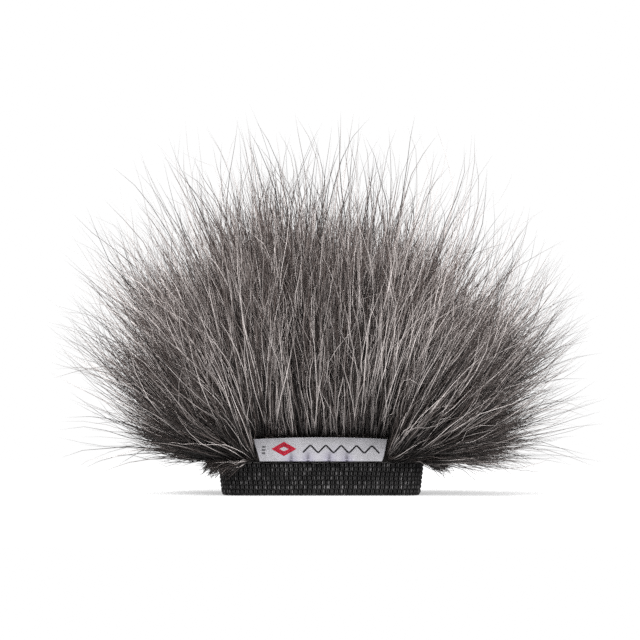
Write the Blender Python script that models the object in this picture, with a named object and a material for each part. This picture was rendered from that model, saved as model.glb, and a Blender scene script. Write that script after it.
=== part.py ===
"""Furry windscreen for a handheld audio recorder: sewn fur sock with an elastic cuff.

Sizes are in millimetres and are scaled to metres when a mesh is made.  +Z is up.
Origin: centre of the mouth, on the bottom plane of the cuff.
X is the width, -Y is the front (label side).
"""
import math
from typing import NamedTuple

import bpy
import numpy as np

MM = 0.001
GAP = 0.3                 # clearance between neighbouring pieces


class Shell(NamedTuple):
    """Sock-shaped surface: straight sides, arched shoulders, rounded face edges."""
    half_w: float
    half_d: float
    top: float
    arch: float           # radius of the shoulders, seen from the front
    edge: float           # radius from the face into the gusset

    def grown(self, offset):
        """The parallel surface, offset outwards."""
        return Shell(*(size + offset for size in self))


# ---------------------------------------------------------------- dimensions
# Elastic cuff
CUFF_HALF_W = 38.25       # outer half width at the bottom rim
CUFF_HALF_D = 20.5        # outer half depth
CUFF_H = 12.8             # visible height of the folded elastic
CUFF_WALL = 2.9           # two plies and the hem between them
CUFF_R = 9.0              # outer corner radius
CUFF_CORNER_STEPS = 6
CUFF_FLARE = 1.038        # width at the top over width at the bottom
CUFF_PLY = 1.3            # one ply, at the side laps
CUFF_LAP = 7.0            # laps lie between -CUFF_LAP and +CUFF_LAP in Y
CUFF_ROWS = 6             # knitted rows in the visible height
ROW_GROOVE_DEPTH = 0.14
ROW_GROOVE_HALF_H = 0.35
TOP_BEVEL = 0.4
RIM_ROUND = 0.6           # rounding of the folded bottom edge
RIM_LEVELS = [(0.0, RIM_ROUND), (0.18, 0.26), (RIM_ROUND, 0.0)]     # (z, inset)

# Ground fabric
SOCK = Shell(half_w=39.0, half_d=20.5, top=80.0, arch=32.0, edge=9.0)
SOCK_Z0 = CUFF_H + GAP    # bottom hem, just above the cuff
FABRIC = 1.5              # ground fabric thickness
SEAM_Y = SOCK.half_d - SOCK.edge    # where a face panel meets the gusset
GUSSET_HALF = SEAM_Y - GAP

# Pile: roots on the ground fabric, tips on a larger envelope
ROOTS = SOCK.grown(GAP)
ROOT_Z0 = 15.0            # lowest pile root
ROOT_LABEL_Z0 = 23.0      # lowest pile root above the label
NOTCH_IN_U = 26.5 / ROOTS.half_w    # the front roots step down between these columns
NOTCH_OUT_U = 28.2 / ROOTS.half_w
PILE_HALF_D = 52.0
PILE_SEAM_Y = 31.5        # where the panel pile meets the gusset pile, outside
TIPS = Shell(half_w=98.0, half_d=PILE_HALF_D, top=140.0, arch=85.0,
             edge=PILE_HALF_D - PILE_SEAM_Y)
TIP_SIDE_Z0 = 18.0        # lower edge of the envelope at the sides
TIP_MIDDLE_Z0 = 44.0      # lower edge of the envelope at the middle
TIP_DRAW_IN = 0.2         # how far the envelope draws in at its lower edge

# Grid of a face panel: fractions of the half width, and of the height
HALF_U = [0.17, 0.34, 0.51, NOTCH_IN_U, NOTCH_OUT_U, 0.80, 0.88, 0.94, 0.98, 1.0]
U = [-u for u in reversed(HALF_U)] + [0.0] + HALF_U
V = [0.0, 0.15, 0.35, 0.56, 0.74, 0.86, 0.93, 0.98, 1.0]

# Label
LABEL_W_TOP = 51.0
LABEL_W_BOTTOM = 47.0
LABEL_Z0 = 13.3
LABEL_H = 9.2
LABEL_ARCH = 0.7          # how much the top edge rises in the middle
LABEL_T = 0.6
LABEL_Y = -22.0           # mid-thickness
LABEL_COLUMNS = 30
LABEL_ROWS = 5
HINGE_Z = 13.5            # the label folds over this line
LABEL_HINGE = (0.0, LABEL_Y, HINGE_Z)
PUCKER = 0.22             # bulge to the front, along the sewn bottom edge
PUCKER_PITCH = 7.0
PUCKER_CREST_X = -6.0     # one crest of the puckers
PUCKER_FADE_X = -1.5      # centre of the puckered stretch
PUCKER_FADE_W = 14.0      # distance from there over which the puckers die away

# Threads
WAVE = (0.0, 1.0, 0.0, -1.0)    # sideways swing of a stitch, four points to a cycle
THREAD_SIDES = 5

SEAM_THREAD_R = 0.45      # overlocked seams inside the bag
SEAM_STANDOFF = 0.6       # from the inside of the fabric to the thread
SEAM_RISE = 0.9           # thread ends above the hem
SEAM_SWING = 0.9
SEAM_STEP = 1.25

RING_THREAD_R = 0.3       # stitching round the mouth
RING_Z = 14.0
RING_SWING = 0.18
RING_STITCH = 5.2

TACK_THREAD_R = 0.35      # zigzag at the rear of the cuff
TACK_HALF_W = 2.2
TACK_Z0 = 1.4
TACK_H = 10.0
TACK_STEPS = 14

LABEL_THREAD_R = 0.22     # line of stitches along the bottom of the label
LABEL_STITCH_HALF_W = 22.6
LABEL_STITCH_RISE = 0.55  # above the hinge
LABEL_STITCH_SWING_Y = 0.08
LABEL_STITCH_SWING_Z = 0.1
LABEL_STITCH_STEPS = 52

# name: (base colour, roughness)
MATERIALS = {
    "fur_pile": ((0.17, 0.14, 0.13), 0.9),
    "fur_pile_gusset": ((0.19, 0.165, 0.155), 0.9),
    "ground_fabric": ((0.045, 0.042, 0.042), 0.95),
    "knitted_elastic": ((0.022, 0.021, 0.022), 0.85),
    "sewing_thread": ((0.06, 0.058, 0.06), 0.7),
    "grey_thread": ((0.22, 0.21, 0.2), 0.7),
    "label_satin": ((0.6, 0.58, 0.63), 0.45),
    "label_thread": ((0.75, 0.74, 0.76), 0.6),
}


# ---------------------------------------------------------------- objects
def make_material(name, rgb, roughness):
    mat = bpy.data.materials.new(name)
    mat.use_nodes = True
    bsdf = mat.node_tree.nodes["Principled BSDF"]
    bsdf.inputs["Base Color"].default_value = (*rgb, 1.0)
    bsdf.inputs["Roughness"].default_value = roughness
    mat.diffuse_color = (*rgb, 1.0)
    return mat


def signed_volume(verts, faces):
    """Volume of a closed mesh, negative when its faces point inwards."""
    total = 0.0
    for face in faces:
        first = verts[face[0]]
        for i in range(1, len(face) - 1):
            total += float(np.dot(first, np.cross(verts[face[i]], verts[face[i + 1]])))
    return total / 6.0


def make_object(name, solid, mat, origin=(0.0, 0.0, 0.0), smooth=True, parent=None):
    """One named object from solid = (verts, faces), with its origin moved to origin."""
    verts, faces = solid
    verts = [np.array(vert, float) for vert in verts]
    if signed_volume(verts, faces) < 0:
        faces = [tuple(reversed(face)) for face in faces]
    origin = np.array(origin, float)
    mesh = bpy.data.meshes.new(name)
    mesh.from_pydata([tuple((vert - origin) * MM) for vert in verts], [], faces)
    mesh.validate()
    mesh.update()
    mesh.materials.append(mat)
    for poly in mesh.polygons:
        poly.use_smooth = smooth
    obj = bpy.data.objects.new(name, mesh)
    bpy.context.scene.collection.objects.link(obj)
    location = origin * MM
    if parent is not None:
        obj.parent = parent
        location = location - np.array(parent.location)
    obj.location = tuple(location)
    return obj


# ---------------------------------------------------------------- solids
def thick_grid(grid_a, grid_b):
    """Closed solid between two grids of points, indexed [column][row]."""
    columns, rows = len(grid_a), len(grid_a[0])
    verts = [point for grid in (grid_a, grid_b) for column in grid for point in column]
    offset = columns * rows

    def index(i, j):
        return i * rows + j

    faces = []
    for i in range(columns - 1):
        for j in range(rows - 1):
            quad = (index(i, j), index(i + 1, j), index(i + 1, j + 1), index(i, j + 1))
            faces.append(quad)
            faces.append(tuple(offset + k for k in reversed(quad)))
    border = [index(i, 0) for i in range(columns)]
    border += [index(columns - 1, j) for j in range(1, rows)]
    border += [index(i, rows - 1) for i in range(columns - 2, -1, -1)]
    border += [index(0, j) for j in range(rows - 2, 0, -1)]
    for p, q in zip(border, border[1:] + border[:1]):
        faces.append((p, p + offset, q + offset))   # cut as the pile gusset's walls are
        faces.append((p, q + offset, q))
    return verts, faces


def sweep(rings, closed=False, cut_from_start=(), cut_from_end=()):
    """Closed solid through a list of rings with the same number of points.

    Wall i lies between ring points i and i + 1.  Walls in cut_from_start are cut in
    triangles from this ring's point i to the next ring's point i + 1, walls in
    cut_from_end from this ring's point i + 1 to the next ring's point i.
    """
    count, size = len(rings), len(rings[0])
    verts = [point for ring in rings for point in ring]
    faces = []
    for k in range(count if closed else count - 1):
        this, following = k * size, ((k + 1) % count) * size
        for i in range(size):
            j = (i + 1) % size
            a, b, c, d = this + i, this + j, following + j, following + i
            if i in cut_from_start:
                faces += [(a, b, c), (a, c, d)]
            elif i in cut_from_end:
                faces += [(a, b, d), (b, c, d)]
            else:
                faces.append((a, b, c, d))
    if not closed:
        faces.append(tuple(reversed(range(size))))
        faces.append(tuple((count - 1) * size + i for i in range(size)))
    return verts, faces


def tube(path, radius, closed=False):
    """A thread of constant radius along a path."""
    points = np.array(path, float)
    count = len(points)
    angles = [2 * math.pi * i / THREAD_SIDES for i in range(THREAD_SIDES)]
    rings = []
    normal = None
    for k in range(count):
        before = k - 1 if closed else max(k - 1, 0)
        after = (k + 1) % count if closed else min(k + 1, count - 1)
        tangent = points[after] - points[before]
        tangent = tangent / np.linalg.norm(tangent)
        if normal is None:
            steep = abs(tangent[2]) >= 0.8
            normal = np.array((0.0, 1.0, 0.0) if steep else (0.0, 0.0, 1.0))
        normal = normal - tangent * float(np.dot(normal, tangent))
        normal = normal / np.linalg.norm(normal)
        side = np.cross(tangent, normal)
        rings.append([points[k] + radius * (math.cos(a) * normal + math.sin(a) * side)
                      for a in angles])
    return sweep(rings, closed)


# ---------------------------------------------------------------- sock surfaces
def arch_top(x, shell):
    """Height of the outline above x."""
    past = abs(x) - (shell.half_w - shell.arch)
    if past <= 0:
        return shell.top
    return shell.top - shell.arch + math.sqrt(max(shell.arch ** 2 - past ** 2, 0.0))


def depth_inside(x, z, shell):
    """Distance from the outline, inwards."""
    past_x = abs(x) - (shell.half_w - shell.arch)
    past_z = z - (shell.top - shell.arch)
    if past_x > 0 and past_z > 0:
        return max(shell.arch - math.hypot(past_x, past_z), 0.0)
    return max(min(shell.half_w - abs(x), shell.top - z), 0.0)


def front_panel_grid(shell, bottom):
    """Grid over the front panel: flat face, rounded back to the seam round its edge.

    bottom gives the height of the lower edge at u.
    """
    grid = []
    for u in U:
        x = u * shell.half_w
        z0 = bottom(u)
        height = arch_top(x, shell) - z0
        column = []
        for v in V:
            z = z0 + v * height
            short = shell.edge - min(depth_inside(x, z, shell), shell.edge)
            bulge = math.sqrt(max(shell.edge ** 2 - short ** 2, 0.0))
            column.append((x, -(shell.half_d - shell.edge) - bulge, z))
        grid.append(column)
    return grid


def flip_y(grid):
    return [[(x, -y, z) for (x, y, z) in column] for column in grid]


def border_of(grid):
    """Left (-X) edge up, top edge across, right edge down, as (x, z)."""
    points = grid[0] + [column[-1] for column in grid[1:]] + grid[-1][-2::-1]
    return [(x, z) for (x, y, z) in points]


def gusset(outer_grid, inner_grid, outer_half, **cuts):
    """Band between the front and back panels, outer_half to each side on the outside."""
    rings = []
    for (xo, zo), (xi, zi) in zip(border_of(outer_grid), border_of(inner_grid)):
        rings.append([(xo, -outer_half, zo), (xo, 0.0, zo), (xo, outer_half, zo),
                      (xi, GUSSET_HALF, zi), (xi, 0.0, zi), (xi, -GUSSET_HALF, zi)])
    return sweep(rings, **cuts)


# ---------------------------------------------------------------- sock pieces
def build_ground_fabric(mats):
    """Two face panels and a gusset between them."""
    def hem(u):
        return SOCK_Z0

    outer = front_panel_grid(SOCK, hem)
    inner = front_panel_grid(SOCK.grown(-FABRIC), hem)
    mat = mats["ground_fabric"]
    make_object("front_panel_ground_fabric", thick_grid(outer, inner), mat)
    make_object("back_panel_ground_fabric", thick_grid(flip_y(outer), flip_y(inner)), mat)
    make_object("gusset_ground_fabric", gusset(outer, inner, GUSSET_HALF), mat)


def front_root_bottom(u):
    """The front roots start higher over the label."""
    return ROOT_LABEL_Z0 if abs(u) <= NOTCH_IN_U else ROOT_Z0


def back_root_bottom(u):
    return ROOT_Z0


def tip_bottom(u):
    return TIP_SIDE_Z0 + (TIP_MIDDLE_Z0 - TIP_SIDE_Z0) * (1.0 - u * u)


def tip_taper(z):
    """The envelope draws in towards the cuff, below its shoulders."""
    shoulder = TIPS.top - TIPS.arch
    t = max(0.0, (shoulder - z) / (shoulder - TIP_SIDE_Z0))
    return 1.0 - TIP_DRAW_IN * t * t


def build_pile(mats):
    """Pile of the two face panels and of the gusset."""
    tips = [[(x * tip_taper(z), y, z) for (x, y, z) in column]
            for column in front_panel_grid(TIPS, tip_bottom)]
    front_roots = front_panel_grid(ROOTS, front_root_bottom)
    back_roots = flip_y(front_panel_grid(ROOTS, back_root_bottom))
    mat = mats["fur_pile"]
    make_object("front_panel_fur_pile", thick_grid(tips, front_roots), mat)
    make_object("back_panel_fur_pile", thick_grid(flip_y(tips), back_roots), mat)
    # walls 5 and 2 face the front and back panels
    band = gusset(tips, front_roots, PILE_SEAM_Y - GAP, cut_from_start=(5,), cut_from_end=(2,))
    make_object("gusset_fur_pile", band, mats["fur_pile_gusset"])


def outline_path(shell, z0, step):
    """Even points (x, z) along the outline, left (-X) bottom to right bottom."""
    straight = shell.top - shell.arch - z0
    quarter = math.pi / 2 * shell.arch
    flat = 2 * (shell.half_w - shell.arch)
    total = 2 * straight + 2 * quarter + flat
    count = int(round(total / step))
    path = []
    for k in range(count + 1):
        s = total * k / count
        side = -1.0
        if s > total / 2:
            s, side = total - s, 1.0
        if s < straight:
            x, z = shell.half_w, z0 + s
        elif s < straight + quarter:
            a = (s - straight) / shell.arch
            x = shell.half_w - shell.arch + shell.arch * math.cos(a)
            z = shell.top - shell.arch + shell.arch * math.sin(a)
        else:
            x, z = shell.half_w - shell.arch - (s - straight - quarter), shell.top
        path.append((side * x, z))
    return path


def build_gusset_seams(mats):
    """Overlocked seams inside the bag, one each side of the gusset."""
    shell = SOCK.grown(-(FABRIC + SEAM_STANDOFF + SEAM_THREAD_R))
    path = outline_path(shell, SOCK_Z0 + SEAM_RISE, SEAM_STEP)
    for name, seam_y in (("front_gusset_seam_thread", -SEAM_Y),
                         ("back_gusset_seam_thread", SEAM_Y)):
        points = [(x, seam_y + SEAM_SWING * WAVE[k % 4], z) for k, (x, z) in enumerate(path)]
        make_object(name, tube(points, SEAM_THREAD_R), mats["sewing_thread"])


# ---------------------------------------------------------------- cuff
def cuff_half_plan(inset, y_end):
    """Cuff plan moved in by inset, from (+X, y_end) round the -Y side to (-X, y_end)."""
    half_w, half_d, radius = CUFF_HALF_W - inset, CUFF_HALF_D - inset, CUFF_R - inset
    right = [(half_w, y_end)]
    for k in range(CUFF_CORNER_STEPS + 1):
        a = math.pi / 2 * k / CUFF_CORNER_STEPS
        right.append((half_w - radius + radius * math.cos(a),
                      -(half_d - radius) - radius * math.sin(a)))
    middle = [(half_w / 3, -half_d), (-half_w / 3, -half_d)]
    return right + middle + [(-x, y) for (x, y) in reversed(right)]


def cuff_outline(front, inset):
    """Plan outline of one run of the cuff, every wall moved inset into the material."""
    long_end = CUFF_LAP - GAP - inset
    short_end = -CUFF_LAP - inset
    if front:                                   # the lap is the outer ply
        outer_end, inner_end = long_end, short_end
        lap_x = CUFF_HALF_W - CUFF_PLY + inset
    else:                                       # the lap is the inner ply
        outer_end, inner_end = short_end, long_end
        lap_x = CUFF_HALF_W - CUFF_PLY - GAP - inset
    points = cuff_half_plan(inset, outer_end)
    points += [(-lap_x, outer_end), (-lap_x, inner_end)]
    points += reversed(cuff_half_plan(CUFF_WALL - inset, inner_end))
    points += [(lap_x, inner_end), (lap_x, outer_end)]
    return points if front else [(x, -y) for (x, y) in points]


def cuff_run(front):
    """Half of the cuff: rounded rim, grooves between the knitted rows, bevelled top."""
    levels = list(RIM_LEVELS)                   # (z, inset)
    rows_top = CUFF_H - TOP_BEVEL
    for k in range(1, CUFF_ROWS):
        z = RIM_ROUND + (rows_top - RIM_ROUND) * k / CUFF_ROWS
        levels += [(z - ROW_GROOVE_HALF_H, 0.0), (z, ROW_GROOVE_DEPTH),
                   (z + ROW_GROOVE_HALF_H, 0.0)]
    levels += [(rows_top, 0.0), (CUFF_H, TOP_BEVEL)]
    rings = []
    for z, inset in levels:
        flare = 1.0 + (CUFF_FLARE - 1.0) * z / CUFF_H
        rings.append([(x * flare, y, z) for (x, y) in cuff_outline(front, inset)])
    return sweep(rings)


def build_cuff(mats):
    """One folded loop, carried as a front run and a rear run that lap at the sides."""
    mat = mats["knitted_elastic"]
    make_object("cuff_elastic_front_run", cuff_run(True), mat, smooth=False)
    rear = make_object("cuff_elastic_rear_run", cuff_run(False), mat, smooth=False)

    # the tack that joins the ends of the elastic, at the rear
    y = CUFF_HALF_D + GAP + TACK_THREAD_R
    points = [(TACK_HALF_W if k % 2 else -TACK_HALF_W, y, TACK_Z0 + TACK_H * k / TACK_STEPS)
              for k in range(TACK_STEPS + 1)]
    make_object("cuff_join_tack_thread", tube(points, TACK_THREAD_R), mats["grey_thread"],
                parent=rear)


def build_mouth_stitching(mats):
    """Stitching round the mouth, where the fur hem is sewn into the cuff."""
    shell = ROOTS.grown(RING_THREAD_R)
    radius = shell.edge
    reaches = (shell.half_w, shell.half_d)
    straights = (2 * (shell.half_d - radius), 2 * (shell.half_w - radius))
    quarter = math.pi / 2 * radius
    total = 2 * sum(straights) + 4 * quarter
    count = 4 * int(round(total / RING_STITCH))
    points = []
    for k in range(count):
        # each side is a straight and the corner after it, laid out at +X and turned
        s = total * k / count
        side = 0
        while s > straights[side % 2] + quarter:
            s -= straights[side % 2] + quarter
            side += 1
        straight = straights[side % 2]
        bend = max(s - straight, 0.0) / radius
        along_x = reaches[side % 2] - radius + radius * math.cos(bend)
        along_y = min(s, straight) - straight / 2 + radius * math.sin(bend)
        turn = side * math.pi / 2
        points.append((along_x * math.cos(turn) - along_y * math.sin(turn),
                       along_x * math.sin(turn) + along_y * math.cos(turn),
                       RING_Z + RING_SWING * WAVE[k % 4]))
    make_object("cuff_seam_thread", tube(points, RING_THREAD_R, closed=True),
                mats["grey_thread"])


# ---------------------------------------------------------------- label
def label_pucker(x, v):
    """Bulge of the label to the front, at x and at fraction v of its height."""
    ripple = max(0.0, math.cos(2 * math.pi * (x - PUCKER_CREST_X) / PUCKER_PITCH))
    fade = math.exp(-((x - PUCKER_FADE_X) / PUCKER_FADE_W) ** 4)
    return PUCKER * ripple * (1.0 - v) ** 2 * fade


def build_label(mats):
    """Label, free at its top edge, folding about its sewn bottom edge."""
    front, back = [], []
    for i in range(LABEL_COLUMNS + 1):
        u = -1.0 + 2.0 * i / LABEL_COLUMNS
        middle = []
        for j in range(LABEL_ROWS + 1):
            v = j / LABEL_ROWS
            x = u * 0.5 * (LABEL_W_BOTTOM + (LABEL_W_TOP - LABEL_W_BOTTOM) * v)
            z = LABEL_Z0 + v * (LABEL_H - LABEL_ARCH * u * u)
            middle.append((x, LABEL_Y - label_pucker(x, v), z))
        front.append([(x, y - LABEL_T / 2, z) for (x, y, z) in middle])
        back.append([(x, y + LABEL_T / 2, z) for (x, y, z) in middle])
    label = make_object("woven_label", thick_grid(front, back), mats["label_satin"],
                        origin=LABEL_HINGE)

    stitch_y = LABEL_Y - LABEL_T / 2 - PUCKER - GAP - LABEL_THREAD_R
    points = []
    for k in range(LABEL_STITCH_STEPS + 1):
        x = LABEL_STITCH_HALF_W * (2.0 * k / LABEL_STITCH_STEPS - 1.0)
        y = stitch_y - LABEL_STITCH_SWING_Y * (1.0 - WAVE[k % 4])
        z = HINGE_Z + LABEL_STITCH_RISE + LABEL_STITCH_SWING_Z * WAVE[(k + 1) % 4]
        points.append((x, y, z))
    make_object("label_stitch_thread", tube(points, LABEL_THREAD_R), mats["label_thread"],
                origin=LABEL_HINGE, parent=label)


def build():
    for obj in list(bpy.data.objects):
        bpy.data.objects.remove(obj, do_unlink=True)
    mats = {name: make_material(name, rgb, roughness)
            for name, (rgb, roughness) in MATERIALS.items()}
    build_ground_fabric(mats)
    build_pile(mats)
    build_gusset_seams(mats)
    build_cuff(mats)
    build_mouth_stitching(mats)
    build_label(mats)


build()
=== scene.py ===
# Fur sock: a bag of long-pile fur fabric, arched at the top and open at the bottom, where a
# knitted elastic cuff is sewn in.  A front and a back panel are joined by a gusset, and a woven
# label sits low on the front.  The front faces -Y, +X is on the right seen from the front, and
# the folded rim of the cuff rests at z = 0.  Lengths are in mm, apart from the stage.
import math

import bpy
import numpy as np
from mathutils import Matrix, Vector
from mathutils.kdtree import KDTree


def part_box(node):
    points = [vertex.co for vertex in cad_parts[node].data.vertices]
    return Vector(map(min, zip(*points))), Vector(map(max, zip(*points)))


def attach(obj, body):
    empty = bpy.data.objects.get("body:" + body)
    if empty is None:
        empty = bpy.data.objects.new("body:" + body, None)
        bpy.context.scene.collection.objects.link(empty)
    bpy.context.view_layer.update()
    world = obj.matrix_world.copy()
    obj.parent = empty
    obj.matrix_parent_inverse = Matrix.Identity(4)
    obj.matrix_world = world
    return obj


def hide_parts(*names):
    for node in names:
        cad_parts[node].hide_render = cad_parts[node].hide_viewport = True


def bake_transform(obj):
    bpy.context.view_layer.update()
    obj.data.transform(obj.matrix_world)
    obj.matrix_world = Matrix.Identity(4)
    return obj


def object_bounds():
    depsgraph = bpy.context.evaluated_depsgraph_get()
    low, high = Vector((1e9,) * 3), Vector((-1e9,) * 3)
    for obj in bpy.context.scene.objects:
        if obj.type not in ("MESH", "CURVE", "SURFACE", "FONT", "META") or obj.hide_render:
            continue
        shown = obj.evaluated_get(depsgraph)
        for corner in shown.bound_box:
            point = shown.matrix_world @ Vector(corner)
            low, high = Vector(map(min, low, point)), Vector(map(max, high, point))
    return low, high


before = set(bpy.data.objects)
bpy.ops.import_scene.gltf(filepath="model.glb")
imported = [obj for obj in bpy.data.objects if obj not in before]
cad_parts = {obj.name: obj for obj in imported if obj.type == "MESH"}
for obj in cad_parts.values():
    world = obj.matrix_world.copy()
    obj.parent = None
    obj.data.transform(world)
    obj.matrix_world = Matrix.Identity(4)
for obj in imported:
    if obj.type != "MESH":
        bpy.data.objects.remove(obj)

CAD_LO, CAD_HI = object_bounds()
MM = 0.001

# ------------------------------------------------------------------ sizes, in mm


def piece_box(name):
    low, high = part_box(name)
    return np.array(low) / MM, np.array(high) / MM


cloth_low, cloth_high = piece_box("gusset_ground_fabric")
face_low, face_high = piece_box("front_panel_ground_fabric")
cuff_low, cuff_high = piece_box("cuff_elastic_front_run")
label_low, label_high = piece_box("woven_label")

SOCK_W = float(cloth_high[0])          # half width, outside of the ground fabric
SOCK_TOP = float(cloth_high[2])
SOCK_D = float(-face_low[1])           # half depth
SEAM_Y = float(-face_high[1])          # where the face panels meet the gusset
EDGE = SOCK_D - SEAM_Y                 # fillet round the face panels
ARCH = 32.0                            # radius of the top corners
HEM_Z = float(cloth_low[2])
FABRIC = 1.5                           # thickness of the ground fabric
PILE_Z = 13.2                          # lowest roots of the pile
PILE_LIFT = 0.15                       # roots stand this far off the ground fabric

CUFF_FLARE = 1.038                     # widening in X from the rim to the top of the cuff
CUFF_TOP = float(cuff_high[2])
CUFF_W = float(cuff_high[0]) / CUFF_FLARE
CUFF_D = float(-cuff_low[1])
CUFF_R = 9.0                           # plan corner radius
CUFF_WALL = 2.9                        # across both plies
RIM_R = 1.2                            # roundings of the folded rim

LABEL_Y = float(label_low[1] + label_high[1]) / 2
LABEL_Z0, LABEL_Z1 = float(label_low[2]), float(label_high[2])
LABEL_H = LABEL_Z1 - LABEL_Z0
LABEL_HW = float(label_high[0])


def sock_part(part):
    """Bake the part's placement into its mesh."""
    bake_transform(part)


# ------------------------------------------------------------------ arithmetic
def ease(start, stop, value):
    """Smooth step: 0 at start, 1 at stop."""
    part = np.clip((value - start) / (stop - start), 0.0, 1.0)
    return part * part * (3 - 2 * part)


def bump(value, centre, width):
    return np.exp(-((value - centre) / width) ** 2)


def unit(vector):
    return vector / np.maximum(np.linalg.norm(vector, axis=-1), 1e-6)[..., None]


def perpendicular(vector, axis):
    """The part of vector that is square to the unit vector axis."""
    return vector - axis * np.sum(vector * axis, -1)[..., None]


def value_noise(points, scale, seed):
    """Smooth noise in -1..1 from a seeded lattice."""
    lattice = np.random.default_rng(seed).random((24, 24, 24)) * 2 - 1
    place = points / scale + 100.0
    cell = np.floor(place).astype(int)
    part = place - cell
    part = part * part * (3 - 2 * part)
    total = np.zeros(len(points))
    for corner in np.ndindex(2, 2, 2):
        weight = np.prod(np.where(corner, part, 1 - part), axis=1)
        total += weight * lattice[tuple(((cell + corner) % 24).T)]
    return total


def nearest(points, centres):
    """Index of the nearest centre for each point."""
    tree = KDTree(len(centres))
    for i, centre in enumerate(centres):
        tree.insert(Vector(centre), i)
    tree.balance()
    return np.array([tree.find(Vector(point))[1] for point in points])


# ------------------------------------------------------------------ meshes
NO_TRIS = np.zeros((0, 3), int)
SQUARE = np.array(((0, 0), (1, 0), (1, 1), (0, 1)))      # corners of a UV cell
TURNED = [0, 3, 2, 1]                                    # the same corners the other way round


def array_mesh(name, verts, quads, mat, tris=NO_TRIS, uv=None, tint=None):
    """Smooth mesh from arrays in mm.  uv is per loop, quads first; tint is per vertex RGB."""
    mesh = bpy.data.meshes.new(name)
    mesh.vertices.add(len(verts))
    mesh.vertices.foreach_set("co", (verts * MM).astype(np.float32).ravel())
    loops = np.concatenate([quads.ravel(), tris.ravel()]).astype(np.int32)
    mesh.loops.add(len(loops))
    mesh.loops.foreach_set("vertex_index", loops)
    starts = np.concatenate([np.arange(len(quads)) * 4, len(quads) * 4 + np.arange(len(tris)) * 3])
    mesh.polygons.add(len(starts))
    mesh.polygons.foreach_set("loop_start", starts.astype(np.int32))
    mesh.update(calc_edges=True)
    mesh.polygons.foreach_set("use_smooth", np.ones(len(starts), bool))
    if uv is not None:
        layer = mesh.uv_layers.new(name="OFBake")
        layer.data.foreach_set("uv", uv.astype(np.float32).ravel())
    if tint is not None:
        layer = mesh.color_attributes.new(name="tint", type="FLOAT_COLOR", domain="POINT")
        rgba = np.ones((len(verts), 4), np.float32)
        rgba[:, :3] = tint
        layer.data.foreach_set("color", rgba.ravel())
    mesh.materials.append(mat)
    part = bpy.data.objects.new(name, mesh)
    bpy.context.scene.collection.objects.link(part)
    return part


def faces_outward(verts, quads):
    """Whether the quads enclose a positive volume."""
    corners = [verts[quads[:, i]] for i in range(4)]
    volume = 0.0
    for i, j in ((1, 2), (2, 3)):
        volume += float(np.sum(corners[0] * np.cross(corners[i], corners[j])))
    return volume >= 0


def grid_cells(rows, cols):
    """Row and column of every cell, flat."""
    i, j = np.meshgrid(np.arange(rows), np.arange(cols), indexing="ij")
    return i.ravel(), j.ravel()


def shell(name, outer, inner, mat, tint):
    """Closed sheet between two point grids of the same shape."""
    rows, cols = outer.shape[:2]
    under = rows * cols
    verts = np.concatenate([outer.reshape(-1, 3), inner.reshape(-1, 3)])
    i, j = grid_cells(rows - 1, cols - 1)
    first = i * cols + j
    top = np.stack([first, first + cols, first + cols + 1, first + 1], 1)
    bottom = top[:, TURNED] + under
    grid = np.arange(under).reshape(rows, cols)
    border = np.concatenate([grid[:, 0], grid[-1, 1:], grid[-2::-1, -1], grid[0, -2:0:-1]])
    after = np.roll(border, -1)
    walls = np.stack([border, border + under, after + under, after], 1)
    quads = np.concatenate([top, bottom, walls])
    # both sides stacked in the map, with a thin strip for the border above them
    uv_cell = SQUARE * np.array((1 / (rows - 1), 1 / (cols - 1)))
    uv_top = np.stack([i / (rows - 1), j / (cols - 1)], 1)[:, None] + uv_cell
    uv_bottom = uv_top[:, TURNED]
    margin, size = np.array((0.01, 0.01)), np.array((0.98, 0.46))
    strip = SQUARE[TURNED]
    wall_u = (np.arange(len(walls))[:, None] + strip[:, 0]) / len(walls)
    wall_v = np.broadcast_to(np.where(strip[:, 1] > 0, 0.985, 0.965), wall_u.shape)
    uv = np.concatenate([margin + uv_top * size,
                         margin + uv_bottom * size + np.array((0.0, 0.48)),
                         np.stack([wall_u, wall_v], -1)])
    if not faces_outward(verts, quads):
        quads, uv = quads[:, ::-1], uv[:, ::-1]
    return array_mesh(name, verts, quads, mat, uv=uv, tint=tint)


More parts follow.
